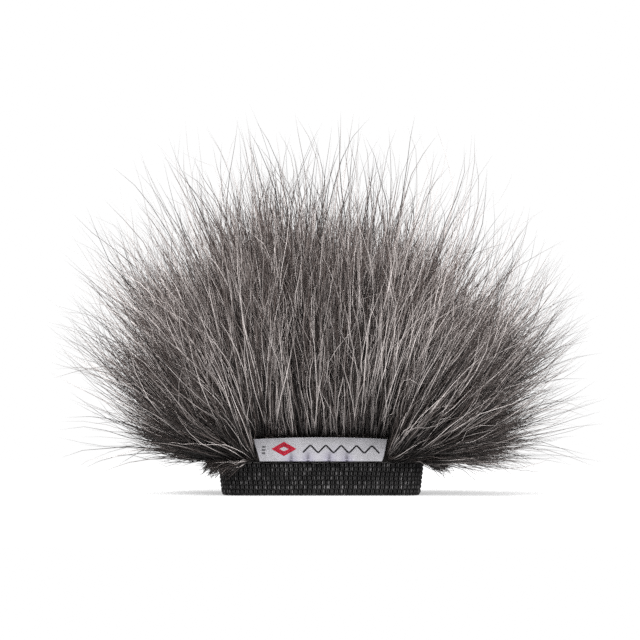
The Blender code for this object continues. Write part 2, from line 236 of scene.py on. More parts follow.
def tubes(name, paths, facing, radius, sides, closed, mat, tint=None):
    """Round yarns along paths (yarns, points, 3).

    facing is the surface normal, which keeps the rings from twisting; tint is per path point.
    """
    count, points = paths.shape[:2]
    if closed:
        tangent = unit(np.roll(paths, -1, 1) - np.roll(paths, 1, 1))
    else:
        tangent = unit(np.gradient(paths, axis=1))
    normal = unit(perpendicular(facing, tangent))
    across = np.cross(tangent, normal)
    angles = [2 * math.pi * i / sides for i in range(sides)]
    rings = [paths + radius * (math.cos(a) * normal + math.sin(a) * across) for a in angles]
    verts = np.stack(rings, 2).reshape(count, points * sides, 3)
    steps = points if closed else points - 1
    quads, uv_quads = [], []
    for i in range(steps):
        here, ahead = i * sides, (i + 1) % points * sides
        u0, u1 = i / steps, (i + 1) / steps
        for j in range(sides):
            beside = (j + 1) % sides
            v0, v1 = j / sides, (j + 1) / sides
            quads.append((here + j, here + beside, ahead + beside, ahead + j))
            uv_quads.append(((u0, v0), (u0, v1), (u1, v1), (u1, v0)))
    tris, uv_tris = [], []
    if not closed:
        verts = np.concatenate([verts, paths[:, :1], paths[:, -1:]], 1)
        start, last = points * sides, (points - 1) * sides
        for j in range(sides):
            beside = (j + 1) % sides
            v0, v1 = j / sides, (j + 1) / sides
            tris += [(start, beside, j), (start + 1, last + j, last + beside)]
            uv_tris += [((0.0, v0), (0.01, v0), (0.01, v1)), ((1.0, v0), (0.99, v0), (0.99, v1))]
    base = (np.arange(count) * verts.shape[1])[:, None, None]
    quads = (np.array(quads)[None] + base).reshape(-1, 4)
    # one map cell per yarn; many short yarns share the map in columns
    rows = int(math.ceil(math.sqrt(count * 6.0))) if count > 40 else count
    cols = int(math.ceil(count / rows))
    cell = np.array((1.0 / cols, 1.0 / rows))
    yarn = np.arange(count)
    corner = np.stack([(yarn // rows) / cols, (yarn % rows) / rows], 1)[:, None, None, :]

    def placed(uv):
        return (((0.05 + 0.9 * np.array(uv)) * cell)[None] + corner).reshape(-1, 2)

    uv = placed(uv_quads)
    if closed:
        tris = NO_TRIS
    else:
        tris = (np.array(tris)[None] + base).reshape(-1, 3)
        uv = np.concatenate([uv, placed(uv_tris)])
    if tint is not None:
        tint = np.repeat(tint, sides, axis=1).reshape(-1, 3)
    return array_mesh(name, verts.reshape(-1, 3), quads, mat, tris, uv, tint)


# ------------------------------------------------------------------ surface of the sock
def dish(across, up, z0, off):
    """Front panel, off outside the ground fabric: points and outward normals on a grid."""
    w, d, top, arch, edge = SOCK_W + off, SOCK_D + off, SOCK_TOP + off, ARCH + off, EDGE + off
    flat_w, spring = w - arch, top - arch
    col_x = np.sin(np.linspace(-math.pi / 2, math.pi / 2, across)) * w
    rise = np.sin(np.linspace(0, math.pi / 2, up))
    x = col_x[:, None] * np.ones(up)[None, :]
    past = np.maximum(np.abs(col_x) - flat_w, 0.0)
    top_z = (spring + np.sqrt(np.maximum(arch * arch - past * past, 0.0)))[:, None]
    z = z0 + rise[None, :] * (top_z - z0)
    # distance in from the outline sets the depth of the fillet
    past_x, past_z = np.abs(x) - flat_w, z - spring
    round_part = (past_x > 0) & (past_z > 0)
    from_round = arch - np.hypot(np.maximum(past_x, 0), np.maximum(past_z, 0))
    inward = np.where(round_part, from_round, np.minimum(w - np.abs(x), top - z))
    inward = np.minimum(np.maximum(inward, 0.0), edge)
    y = -(d - edge) - np.sqrt(np.maximum(edge ** 2 - (edge - inward) ** 2, 0.0))
    # outline normal, turned towards the front by the fillet
    out_x = np.where(past_x > 0, np.sign(x) * past_x, 0.0)
    out_z = np.where(z > spring, past_z, 0.0)
    size = np.maximum(np.hypot(out_x, out_z), 1e-6)
    side = z <= spring
    flat = (np.abs(x) <= flat_w) & (z > spring)
    out_x = np.where(flat, 0.0, np.where(side, np.sign(x), out_x / size))
    out_z = np.where(flat, 1.0, np.where(side, 0.0, out_z / size))
    turn = (edge - inward) / edge
    facing = -np.sqrt(np.maximum(1 - turn * turn, 0.0))
    return np.stack([x, y, z], -1), np.stack([out_x * turn, facing, out_z * turn], -1)


def arch_line(z0, off, count=None, step=None):
    """Gusset outline from the foot at -X over the top to +X, by count or by step.

    Gives x and z, outward normals, and lengths along it.
    """
    w, top, arch = SOCK_W + off, SOCK_TOP + off, ARCH + off
    straight, quarter, flat = top - arch - z0, math.pi / 2 * arch, 2 * (w - arch)
    total = 2 * straight + 2 * quarter + flat
    along = np.linspace(0, total, count or int(total / step) + 1)
    sign = np.where(along > total / 2, 1.0, -1.0)
    s = np.where(along > total / 2, total - along, along)
    angle = np.clip((s - straight) / arch, 0, math.pi / 2)
    upright = s < straight
    x = np.where(upright, w, w - arch + arch * np.cos(angle))
    x = np.where(s > straight + quarter, w - arch - (s - straight - quarter), x)
    z = np.where(upright, z0 + s, top - arch + arch * np.sin(angle))
    normal_x = np.where(upright, 1.0, np.cos(angle))
    normal_z = np.where(upright, 0.0, np.sin(angle))
    return np.stack([sign * x, z], 1), np.stack([sign * normal_x, normal_z], 1), along


def gusset(around, deep, z0, off):
    """Gusset surface, like dish()."""
    line, normal, _ = arch_line(z0, off, count=around)
    y = np.repeat(np.linspace(-SEAM_Y, SEAM_Y, deep)[None, :], around, 0)

    def widen(values):
        return np.repeat(values[:, None], deep, 1)

    points = np.stack([widen(line[:, 0]), y, widen(line[:, 1])], -1)
    return points, np.stack([widen(normal[:, 0]), np.zeros_like(y), widen(normal[:, 1])], -1)


def scatter(points, normals, count, rng, density=None):
    """Random roots on a grid surface, even by area, then weighted by density(points)."""
    a, b, c, d = points[:-1, :-1], points[1:, :-1], points[1:, 1:], points[:-1, 1:]
    area = 0.5 * np.linalg.norm(np.cross(c - a, d - b), axis=-1)
    if density is not None:
        area = area * density((a + b + c + d) / 4)
    weight = area.ravel() / area.sum()
    cell = rng.choice(len(weight), size=count, p=weight)
    i, j = cell // area.shape[1], cell % area.shape[1]
    s, t = rng.random(count)[:, None], rng.random(count)[:, None]

    def mix(grid):
        near = grid[i, j] * (1 - s) + grid[i + 1, j] * s
        far = grid[i, j + 1] * (1 - s) + grid[i + 1, j + 1] * s
        return near * (1 - t) + far * t

    return mix(points), unit(mix(normals))


# ------------------------------------------------------------------ materials
def new_mat(name):
    mat = bpy.data.materials.new(name)
    mat.use_nodes = True
    return mat, mat.node_tree, mat.node_tree.nodes["Principled BSDF"]


def add_node(nt, kind, links=None, **values):
    """New node; links and values name its inputs."""
    node = nt.nodes.new(kind)
    for key, value in values.items():
        node.inputs[key].default_value = value
    for key, socket in (links or {}).items():
        nt.links.new(socket, node.inputs[key])
    return node


def remap(nt, socket, low, high, start=0.3, stop=0.7):
    """socket from start..stop to low..high."""
    node = add_node(nt, "ShaderNodeMapRange", {"Value": socket})
    for key, value in (("From Min", start), ("From Max", stop), ("To Min", low), ("To Max", high)):
        node.inputs[key].default_value = value
    return node.outputs["Result"]


def multiply(nt, first, second):
    node = add_node(nt, "ShaderNodeMath", {0: first, 1: second})
    node.operation = "MULTIPLY"
    return node.outputs["Value"]


def base_colour(nt, bsdf, factor, colour=None):
    """Base colour: a fixed colour, or the mesh's tint where there is none, times factor."""
    node = nt.nodes.new("ShaderNodeVectorMath")
    node.operation = "SCALE"
    if colour is None:
        tint = nt.nodes.new("ShaderNodeAttribute")
        tint.attribute_name = "tint"
        nt.links.new(tint.outputs["Color"], node.inputs[0])
    else:
        node.inputs[0].default_value = colour
    nt.links.new(factor, node.inputs["Scale"])
    nt.links.new(node.outputs["Vector"], bsdf.inputs["Base Color"])


def add_bump(nt, bsdf, height, strength, distance):
    node = add_node(nt, "ShaderNodeBump", {"Height": height}, Strength=strength, Distance=distance)
    nt.links.new(node.outputs["Normal"], bsdf.inputs["Normal"])


def hair_material():
    mat, nt, bsdf = new_mat("fur_fibre")
    place = {"Vector": nt.nodes.new("ShaderNodeTexCoord").outputs["Object"]}
    noise = add_node(nt, "ShaderNodeTexNoise", place, Scale=130.0, Detail=3.0)
    base_colour(nt, bsdf, remap(nt, noise.outputs["Fac"], low=0.72, high=1.22))
    bsdf.inputs["Roughness"].default_value = 0.46
    bsdf.inputs["Specular IOR Level"].default_value = 0.42
    return mat


def cloth_material(name, roughness, fibre, mottle, colour=None, low=0.75, high=1.25,
                   depth=0.00006, shine=0.25):
    """Fibrous cloth: mottled colour, fine fibre bump, uneven roughness.

    fibre and mottle are noise scales; low and high bound the mottling; depth is the bump in m.
    """
    mat, nt, bsdf = new_mat(name)
    place = {"Vector": nt.nodes.new("ShaderNodeTexCoord").outputs["Object"]}
    big = add_node(nt, "ShaderNodeTexNoise", place, Scale=mottle, Detail=3.0)
    fine = add_node(nt, "ShaderNodeTexNoise", place, Scale=fibre, Detail=4.0, Roughness=0.7)
    fine = fine.outputs["Fac"]
    patches = remap(nt, big.outputs["Fac"], low, high)
    fibres = remap(nt, fine, low=0.65, high=1.35)
    base_colour(nt, bsdf, multiply(nt, patches, fibres), colour)
    rough = remap(nt, fine, low=roughness - 0.08, high=min(roughness + 0.08, 1.0))
    nt.links.new(rough, bsdf.inputs["Roughness"])
    bsdf.inputs["Specular IOR Level"].default_value = shine
    add_bump(nt, bsdf, fine, strength=0.8, distance=depth)
    return mat


def thread_material(name, colour, roughness, mottle=500.0, depth=0.00004, **mottling):
    return cloth_material(name, roughness, fibre=10400.0, mottle=mottle, colour=colour,
                          depth=depth, **mottling)


def satin_material():
    """Woven satin: two crossing sets of fine threads and soft highlights."""
    mat, nt, bsdf = new_mat("label_satin")
    place = {"Vector": nt.nodes.new("ShaderNodeTexCoord").outputs["Object"]}
    waves = []
    for direction, scale in (("X", 1250.0), ("Z", 860.0)):
        wave = add_node(nt, "ShaderNodeTexWave", place, Scale=scale, Distortion=1.5, Detail=1.0)
        wave.bands_direction = direction
        waves.append(wave.outputs["Fac"])
    noise = add_node(nt, "ShaderNodeTexNoise", place, Scale=260.0, Detail=4.0).outputs["Fac"]
    weave = add_node(nt, "ShaderNodeMath", {0: waves[0], 2: waves[1]})
    weave.operation = "MULTIPLY_ADD"
    weave.inputs[1].default_value = 0.6
    weave = weave.outputs["Value"]
    threads = remap(nt, weave, low=0.88, high=1.08, start=0.0, stop=1.6)
    clouds = remap(nt, noise, low=0.90, high=1.10)
    base_colour(nt, bsdf, multiply(nt, threads, clouds))
    rough = remap(nt, noise, low=0.42, high=0.62, start=0.0, stop=1.0)
    nt.links.new(rough, bsdf.inputs["Roughness"])
    bsdf.inputs["Specular IOR Level"].default_value = 0.4
    bsdf.inputs["Sheen Weight"].default_value = 0.15
    add_bump(nt, bsdf, weave, strength=0.5, distance=0.00004)
    return mat


HAIR = hair_material()
ELASTIC_YARN = cloth_material("knitted_elastic", roughness=0.72, fibre=5200.0, mottle=240.0,
                              low=0.65, high=1.35, shine=0.12)
ELASTIC_CORE = cloth_material("elastic_core", roughness=0.95, fibre=4400.0, mottle=150.0,
                              colour=(0.0028, 0.0026, 0.0027), shine=0.02)
BACKING = cloth_material("ground_fabric", roughness=0.95, fibre=4400.0, mottle=90.0)
SEAM_THREAD = thread_material("seam_thread_grey", (0.125, 0.12, 0.118), roughness=0.7,
                              mottle=300.0, low=0.35, high=1.6)
GREY_THREAD = thread_material("grey_thread", (0.20, 0.19, 0.185), roughness=0.7)
BLACK_THREAD = thread_material("sewing_thread", (0.045, 0.042, 0.042), roughness=0.65)
LABEL_THREAD = thread_material("label_thread", (0.42, 0.41, 0.45), roughness=0.55, depth=0.00003)
RED_THREAD = thread_material("motif_red_thread", (0.42, 0.012, 0.035), roughness=0.5,
                             mottle=400.0, depth=0.00003)
INK_THREAD = thread_material("motif_dark_thread", (0.012, 0.011, 0.015), roughness=0.5,
                             mottle=400.0, depth=0.00003)
SATIN = satin_material()

# ------------------------------------------------------------------ how the fur lies
FRONT, GUSSET, BACK = -1, 0, 1         # panel codes, also the sign of a face panel's y

# The fur stays inside this box, rounded in depth and above CROWN_Z.
LIMIT_LO = np.array(CAD_LO) / MM - np.array((13.0, 11.0, -3.0))
LIMIT_HI = np.array(CAD_HI) / MM + np.array((13.0, 11.0, 12.0))
CROWN_Z = 48.0


def comb(root, normal, panel, length, steps, offset, curl, splay, push, flick=None):
    """Paths of so many points, combed up and away from the middle.

    offset turns a whole hair sideways and in depth, curl turns it along its length, and splay
    turns it outwards.  push is how far a root stands off along its normal, and flick how far
    the outer third turns away from the lie.
    """
    point = root.copy()
    path = np.empty((len(root), steps, 3))
    path[:, 0] = point
    stride = (length / (steps - 1))[:, None]
    flick_side, flick_depth = (0.0, 0.0) if flick is None else flick.T
    face = panel != GUSSET
    y_sign = float(panel) if face else root[:, 1] / SEAM_Y
    x_sign = np.clip(root[:, 0] / 24.0, -1, 1)
    for i in range(1, steps):
        t = (i - 0.5) / (steps - 1)
        x, z = point[:, 0], point[:, 2]
        # share of the full outward lean, and how far the hair stands out in depth
        if face:
            share = 0.26 + 0.50 * ease(14.0, 46.0, np.abs(x))
            depth = 0.52 * (1 - t) ** 1.3 + 0.13
        else:
            share = 0.46 + 0.44 * ease(20.0, 50.0, np.abs(x))
            depth = np.abs(y_sign) * (0.36 * (1 - t) + 0.10)
        share = share * np.where(x > 0, 0.93, 1.0)
        end = ease(0.48, 0.95, t)
        # the full lean points away from just below the sock, a little to the left
        lean = np.arctan2(x + 1.0, np.maximum(z + 19.0, 6.0)) * share
        lean = lean + offset[:, 0] + curl * t + splay * x_sign * (1.0 - 0.35 * t)
        lean = lean + flick_side * end
        depth = np.clip(depth + offset[:, 1] + flick_depth * end, 0.0, 0.95)
        depth = np.sign(y_sign) * depth
        level = np.sqrt(np.maximum(1 - depth ** 2, 0.05))
        way = np.stack([np.sin(lean) * level, depth, np.cos(lean) * level], 1)
        point = point + unit(way + push * (0.85 if face else 1.05) * (1 - t) ** 2.6 * normal) * stride
        path[:, i] = point
    return path


def lie_length(root, length):
    """Hair length over the sock, before chance: shorter towards the top, uneven at the sides."""
    x, z = root[:, 0], root[:, 2]
    top, flank = ease(56.0, 76.0, z), ease(22.0, 37.0, np.abs(x))
    lie = length - 24.5 * ease(34.0, 76.0, z) + 0.10 * length * ease(8.0, 38.0, x)
    # top: short right of the middle, long at the left
    lie = lie - 11.5 * top * bump(x, 9.0, 19.0) + 6.0 * top * bump(x, -25.0, 7.0)
    # short patches at the upper right and upper left
    lie = lie - 22.5 * bump(x, 35.0, 12.0) * bump(z, 50.0, 14.0)
    lie = lie - 9.5 * bump(x, -36.0, 11.0) * bump(z, 60.0, 12.0)
    # low on the flanks: long at the right, short at the left
    lie = lie + 8.0 * ease(28.0, 38.0, x) * bump(z, 24.0, 7.0)
    lie = lie - 6.0 * ease(-28.0, -38.0, x) * bump(z, 31.0, 11.0)
    return lie - np.where(x < 0, 0.22, 0.02) * length * ease(25.0, 14.0, z) * flank


def low_splay(root, droop, sided, rng):
    """Outward turn of the lowest hairs.  droop applies at any height, times sided by side."""
    x, count = root[:, 0], len(root)
    flank = 0.4 + 0.6 * ease(20.0, 34.0, np.abs(x))
    drooping = droop * np.where(x > 0, sided[1], sided[0]) * (0.5 + 0.5 * rng.random(count)) * flank
    right = np.where(x > 0, 1.7, 1.0)
    near_hem = ease(24.0, 13.0, root[:, 2])
    return near_hem * (0.02 + 0.24 * rng.random(count)) * flank * right + drooping


def keep_in(path):
    """Scale hairs down from their roots, keeping their line, until they fit the limit box."""
    root = path[:, :1]
    reach = path - root
    ragged = 0.80 + 0.20 * np.random.default_rng(len(path)).random(len(path)) ** 0.8
    middle = 0.5 * (LIMIT_HI + LIMIT_LO)
    half = 0.5 * (LIMIT_HI - LIMIT_LO)

    def outside(scale):
        point = root + reach * scale[:, None, None]
        away = np.abs(point - (middle[0], middle[1], 0.0))
        up = np.maximum(away[..., 2] - CROWN_Z, 0.0) / (LIMIT_HI[2] - CROWN_Z)
        fill = (away[..., 0] / half[0]) ** 3.2 + (away[..., 1] / half[1]) ** 2.3 + up ** 2.3
        return (fill.max(axis=1) > ragged) | (point[..., 2].min(axis=1) < LIMIT_LO[2])

    good, bad = np.full(len(path), 0.15), np.ones(len(path))
    whole = ~outside(bad)
    for _ in range(9):
        middle_scale = 0.5 * (good + bad)
        out = outside(middle_scale)
        good, bad = np.where(out, good, middle_scale), np.where(out, middle_scale, bad)
    return root + reach * np.where(whole, 1.0, good)[:, None, None]


def grow(points, normals, panel, count, clumps, length, steps, seed, density=None,
         stray=0.05, radius=0.165, tone=0.0, hold=(0.05, 0.68), wave=(0.15, 1.30), fade=9.5,
         droop=0.0, sided=(0.85, 1.25), push=1.0):
    """Roots, paths, radii, shades and lit bands of one kind of hair on one panel.

    stray: share of loose hairs; tone: added to the shade; hold: range of pull to the clump;
    wave: range of wave height; fade: mean extra length; droop, sided: see low_splay();
    push: see comb().
    """
    rng = np.random.default_rng(seed)
    root, normal = scatter(points, normals, count, rng, density)
    clump_root, clump_normal = scatter(points, normals, clumps, rng, density)
    tufts = max(clumps // 9, 6)
    tuft_root, tuft_normal = scatter(points, normals, tufts, rng, density)

    def normal_pairs(number, side, depth):
        return np.stack([side * rng.standard_normal(number), depth * rng.standard_normal(number)], 1)

    def lengths(roots, scale):
        lie = lie_length(roots, length) + rng.exponential(fade, len(roots))
        return np.clip(lie * scale, 0.3 * length, 80.0)

    def combed(roots, root_normals, size, offset, curl, flick=None):
        splay = low_splay(roots, droop, sided, rng)
        return comb(roots, root_normals, panel, size, steps, offset, curl, splay, push, flick)

    # big tufts: slow changes of direction and length over the surface
    calm = 0.62 if panel != GUSSET else 0.85
    tuft_offset = normal_pairs(tufts, 0.125, 0.08)
    tuft_offset[:, 0] += 0.06 * value_noise(tuft_root, 14.0, seed + 1)
    tuft_offset *= calm
    tuft_scale = 1 + 0.16 * rng.standard_normal(tufts)
    tuft_curl = 0.10 * calm * rng.standard_normal(tufts)

    # clumps vary within their tuft
    tuft_of = nearest(clump_root, tuft_root)
    clump_offset = tuft_offset[tuft_of] + normal_pairs(clumps, 0.05, 0.05)
    clump_curl = tuft_curl[tuft_of] + 0.075 * rng.standard_normal(clumps)
    clump_scale = np.clip(tuft_scale[tuft_of] + 0.08 * rng.standard_normal(clumps), 0.72, 1.35)
    guide = combed(clump_root, clump_normal, lengths(clump_root, clump_scale), clump_offset,
                   clump_curl)
    lead = combed(tuft_root, tuft_normal, lengths(tuft_root, tuft_scale * 1.08), tuft_offset,
                  tuft_curl)
    t = np.linspace(0, 1, steps)[None, :, None]
    draw = (0.62 * rng.random(tufts))[tuft_of][:, None, None]
    goal = lead[tuft_of] + (clump_root - tuft_root[tuft_of])[:, None, :] * (1 - 0.7 * t)
    guide = guide + (goal - guide) * draw * t ** 1.3

    # hairs vary within their clump; the longest, which make the outline, are the loosest
    clump_of = nearest(root, clump_root)
    is_stray = rng.random(count) < stray
    spread = np.where(is_stray, 2.6, 1.0)
    offset = clump_offset[clump_of] + normal_pairs(count, 0.05, 0.075) * spread[:, None]
    curl = clump_curl[clump_of] + 0.11 * rng.standard_normal(count) * spread
    hair_length = lengths(root, clump_scale[clump_of])
    loose = 0.30 + 0.70 * ease(4.0, 20.0, hair_length - lie_length(root, length))
    flick = normal_pairs(count, 0.27, 0.10) * loose[:, None]
    path = combed(root, normal, hair_length, offset, curl, flick)

    # hairs drift towards their clump's guide, at the guide's own scale
    guide_length = np.linalg.norm(np.diff(guide, axis=1), axis=2).sum(1)[clump_of]
    ratio = np.clip(hair_length / guide_length, 0.3, 1.0)
    place = t[:, :, 0] * ratio[:, None] * (steps - 1)
    before = np.minimum(place.astype(int), steps - 2)
    part = (place - before)[:, :, None]
    own = guide[clump_of]
    rows = np.arange(count)[:, None]
    target = own[rows, before] * (1 - part) + own[rows, before + 1] * part
    target = target + (root - clump_root[clump_of])[:, None, :] * (1 - 0.58 * t ** 0.8)
    pull = hold[0] + (hold[1] - hold[0]) * rng.random(count)
    pull = np.where(is_stray | (hair_length > guide_length * 1.02), 0.0, pull)[:, None, None]
    release = 1 - 0.45 * loose[:, None, None] * ease(0.55, 1.0, t)
    path = path + (target - path) * pull * t ** 0.9 * release

    # slight waves; strays bend more
    chord = unit(path[:, -1] - path[:, 0])
    first = unit(perpendicular(rng.standard_normal((count, 3)), chord))
    second = np.cross(chord, first)
    height = wave[0] + (wave[1] - wave[0]) * rng.random(count) ** 1.6
    height = height * np.where(is_stray, 2.4, 1.0)
    turns = 0.7 + 1.7 * rng.random(count)
    phase = 2 * math.pi * rng.random(count)
    angle = 2 * math.pi * turns[:, None] * t[:, :, 0] + phase[:, None]
    height = (height[:, None] * t[:, :, 0] ** 0.8)[:, :, None]
    sway = (np.sin(angle) - np.sin(phase)[:, None])[:, :, None]
    cross_sway = 0.6 * (np.cos(angle * 0.8) - np.cos(phase * 0.8)[:, None])[:, :, None]
    path = path + sway * height * first[:, None, :] + cross_sway * height * second[:, None, :]
    # frizz: small kinks, growing towards the tip
    kink = rng.standard_normal((count, steps, 3)) * (0.05 + 0.28 * t)
    kink[:, 0] = 0.0
    path = keep_in(path + kink * (0.4 + 1.2 * rng.random(count) ** 2)[:, None, None])

    radii = radius * (0.60 + 0.80 * rng.random(count)) * np.where(is_stray, 0.8, 1.0)
    # shade: 0 near black, 1 pale grey; clumps share part of it
    clump_tone = rng.random(clumps)
    shade = 0.72 * rng.random(count) + 0.28 * clump_tone[clump_of] + tone
    shade = np.where(is_stray, shade + 0.15, shade)
    x, z = root[:, 0], root[:, 2]
    # darker low on the flanks as painted shade, paler above and away from the middle
    shade = shade - 0.09 * ease(26.0, 36.0, np.abs(x)) * ease(31.0, 17.0, z)
    shade = shade + np.where(x < 0, 0.10, 0.08) * ease(8.0, 28.0, np.abs(x)) * ease(20.0, 32.0, z)
    return dict(root=root, path=path, radius=radii, shade=shade, band=rng.random((count, 2)))


# ------------------------------------------------------------------ fibres
# root, middle and tip colour of each kind of hair; the dark root colour is painted shade at the base
# of the fur
BLACK = np.array(((0.0036, 0.0029, 0.0027), (0.0125, 0.0096, 0.0088), (0.030, 0.0205, 0.0178)))
BROWN = np.array(((0.0090, 0.0068, 0.0063), (0.098, 0.078, 0.072), (0.055, 0.037, 0.032)))
PALE = np.array(((0.036, 0.030, 0.028), (0.71, 0.65, 0.63), (0.085, 0.061, 0.053)))


def hair_colour(along, shade, band, root):
    """Dark root as painted shade at the base of the fur, full colour in the middle, brown tip.  Each
    hair has its own lit stretch.
    """
    t = along[None, :, None]
    shade = shade[:, None, None]
    x, y, z = root.T
    # painted shade: the dark root stretch is longer low on the sock and shorter just above the label
    low = ease(34.0, 16.0, z)
    over_label = ease(29.0, 24.0, np.abs(x)) * ease(38.0, 27.0, z) * (y < 0)
    start = 0.02 + 0.22 * band[:, 0] * (1 - 0.6 * over_label) \
        + (0.16 * low * (1 - over_label) - 0.06 * over_label)
    stop = 0.50 + 0.42 * band[:, 1] - 0.11 * ease(36.0, 62.0, z)
    start, stop = start[:, None, None], stop[:, None, None]
    up, down = ease(start, start + 0.30, t), ease(stop, stop + 0.30, t)

    def stretch(colours):
        rising = colours[0] + (colours[1] - colours[0]) * up
        return rising + (colours[2] - rising) * down

    colour = stretch(BLACK)
    colour = colour + (stretch(BROWN) - colour) * ease(0.31, 0.46, shade)
    return colour + (stretch(PALE) - colour) * ease(0.50, 0.78, shade)


def hair_mesh(name, hair):
    """Closed three-sided tapered fibres, one mesh."""
    path = hair["path"]
    count, steps = path.shape[:2]
    along = np.linspace(0, 1, steps)
    tangent = unit(np.gradient(path, axis=1))
    chord = unit(path[:, -1] - path[:, 0])
    rng = np.random.default_rng(len(name) * 7 + count)
    side = unit(perpendicular(rng.standard_normal((count, 3)), chord))
    side = unit(perpendicular(side[:, None, :], tangent))
    other = np.cross(tangent, side)
    swell = 0.80 + 0.20 * np.sin(math.pi * np.clip(along * 1.3, 0, 1))
    taper = swell * np.clip(1.18 - along ** 3.0, 0.25, 1.0)
    radius = (hair["radius"][:, None] * taper[None, :])[:, :, None]
    angles = [2 * math.pi * i / 3 for i in range(3)]
    rings = [path + radius * (math.cos(a) * side + math.sin(a) * other) for a in angles]
    body = np.stack(rings, 2)[:, :steps - 1].reshape(count, (steps - 1) * 3, 3)
    verts = np.concatenate([body, path[:, -1:, :]], 1)
    last = (steps - 2) * 3
    tip = last + 3

    # one small map cell per fibre
    quads, uv_quads, tris, uv_tris = [], [], [], []
    for i in range(steps - 2):
        v0, v1 = i / (steps - 1), (i + 1) / (steps - 1)
        for j in range(3):
            here, beside = i * 3 + j, i * 3 + (j + 1) % 3
            u0, u1 = j / 3, (j + 1) / 3
            quads.append((here, beside, beside + 3, here + 3))
            uv_quads.append(((u0, v0), (u1, v0), (u1, v1), (u0, v1)))
    v0 = (steps - 2) / (steps - 1)
    for j in range(3):
        tris.append((last + j, last + (j + 1) % 3, tip))
        uv_tris.append(((j / 3, v0), ((j + 1) / 3, v0), ((j + 0.5) / 3, 1.0)))
    tris.append((2, 1, 0))
    uv_tris.append(((0.9, 0.0), (0.5, 0.05), (0.1, 0.0)))
    base = (np.arange(count) * (tip + 1))[:, None, None]
    quads = (np.array(quads)[None] + base).reshape(-1, 4)
    tris = (np.array(tris)[None] + base).reshape(-1, 3)
    per_row = int(math.ceil(math.sqrt(count)))
    cell = 1.0 / per_row
    fibre = np.arange(count)
    corner = np.stack([(fibre % per_row) * cell, (fibre // per_row) * cell], 1)[:, None, None, :]
    pad = 0.12
    uv = np.concatenate([(((pad + (1 - 2 * pad) * np.array(part)) * cell)[None] + corner)
                         .reshape(-1, 2) for part in (uv_quads, uv_tris)])

    colour = hair_colour(along, np.clip(hair["shade"], 0, 1), hair["band"], path[:, 0])
    tint = np.concatenate([np.repeat(colour[:, :steps - 1], 3, axis=1), colour[:, -1:]], 1)
    fibres = array_mesh(name, verts.reshape(-1, 3), quads, HAIR, tris, uv, tint.reshape(-1, 3))
    sock_part(fibres)
    return fibres


# ------------------------------------------------------------------ layers of fur
COUNT_SCALE = 1.0


def below_label(points):
    """No pile under the label, and less beside it."""
    x, y, z = points[..., 0], points[..., 1], points[..., 2]
    half_width = 24.5 + 2.4 * (z - LABEL_Z0) / 9.2
    hidden = (np.abs(x) < half_width) & (z < LABEL_Z1 - 1.2) & (y < 0)
    part = 1 - 0.30 * bump(np.abs(x), 30.0, 2.2) * ease(46.0, 26.0, z)
    return np.where(hidden, 0.0, part)


def lowest(limit, beside_label=False):
    """Only the lowest rows of pile, and only beside the label where asked."""
    def density(points):
        keep = points[..., 2] < limit
        if beside_label:
            keep = keep & (np.abs(points[..., 0]) > LABEL_HW - 0.5)
        return np.where(keep, 1.0, 0.0)
    return density


front_points, front_normals = dish(72, 60, PILE_Z, PILE_LIFT)
TO_BACK = np.array((1, -1, 1))
PANELS = {
    "front_panel": (front_points, front_normals, FRONT),
    "back_panel": (front_points * TO_BACK, front_normals * TO_BACK, BACK),
    "gusset": (*gusset(150, 10, PILE_Z, PILE_LIFT), GUSSET),
}

GUARD = dict(radius=0.142, fade=11.8)
DOWN = dict(tone=-0.26, stray=0.12, radius=0.135, wave=(0.2, 0.9), fade=3.0, hold=(0.1, 0.6))
FRINGE = dict(droop=0.52, sided=(1.05, 1.45), tone=-0.10, fade=6.5, stray=0.06, wave=(0.2, 1.1),
              radius=0.130)
CURL = dict(droop=1.7, sided=(1.45, 0.75), push=0.35, fade=1.2, stray=0.10, wave=(0.3, 1.0),
            radius=0.130, tone=-0.20, hold=(0.0, 0.3))
WILD = dict(stray=1.0, wave=(0.5, 2.0), radius=0.135, fade=12.0, tone=0.22)

# kind, points per hair, style, then per panel:
# panel, hairs, clumps, length, seed, meshes the layer is cut into, density
FUR_LAYERS = (
    ("guard_hair", 8, GUARD, (
        ("front_panel", 18000, 2700, 29.4, 11, 4, below_label),
        ("back_panel", 13500, 2200, 29.4, 12, 3, None),
        ("gusset", 18000, 2600, 31.2, 13, 4, None))),
    ("underfur", 6, DOWN, (
        ("front_panel", 6500, 900, 23.0, 21, 1, below_label),
        ("back_panel", 6000, 900, 23.0, 22, 1, None),
        ("gusset", 6500, 900, 24.0, 23, 1, None))),
    ("hem_fringe", 8, FRINGE, (
        ("front_panel", 900, 140, 23.0, 31, 1, lowest(19.0, beside_label=True)),
        ("gusset", 2700, 420, 21.0, 33, 1, lowest(19.0)),
        ("back_panel", 1300, 190, 22.0, 32, 1, lowest(19.0)))),
    ("hem_curl", 9, CURL, (
        ("front_panel", 600, 110, 8.0, 41, 1, lowest(15.5, beside_label=True)),
        ("gusset", 1500, 260, 6.2, 43, 1, lowest(15.5)),
        ("back_panel", 1000, 200, 7.0, 42, 1, lowest(15.5)))),
    ("stray_hair", 12, WILD, (
        ("front_panel", 420, 90, 35.0, 61, 1, below_label),
        ("back_panel", 320, 70, 35.0, 62, 1, None),
        ("gusset", 560, 120, 37.0, 63, 1, None))),
)


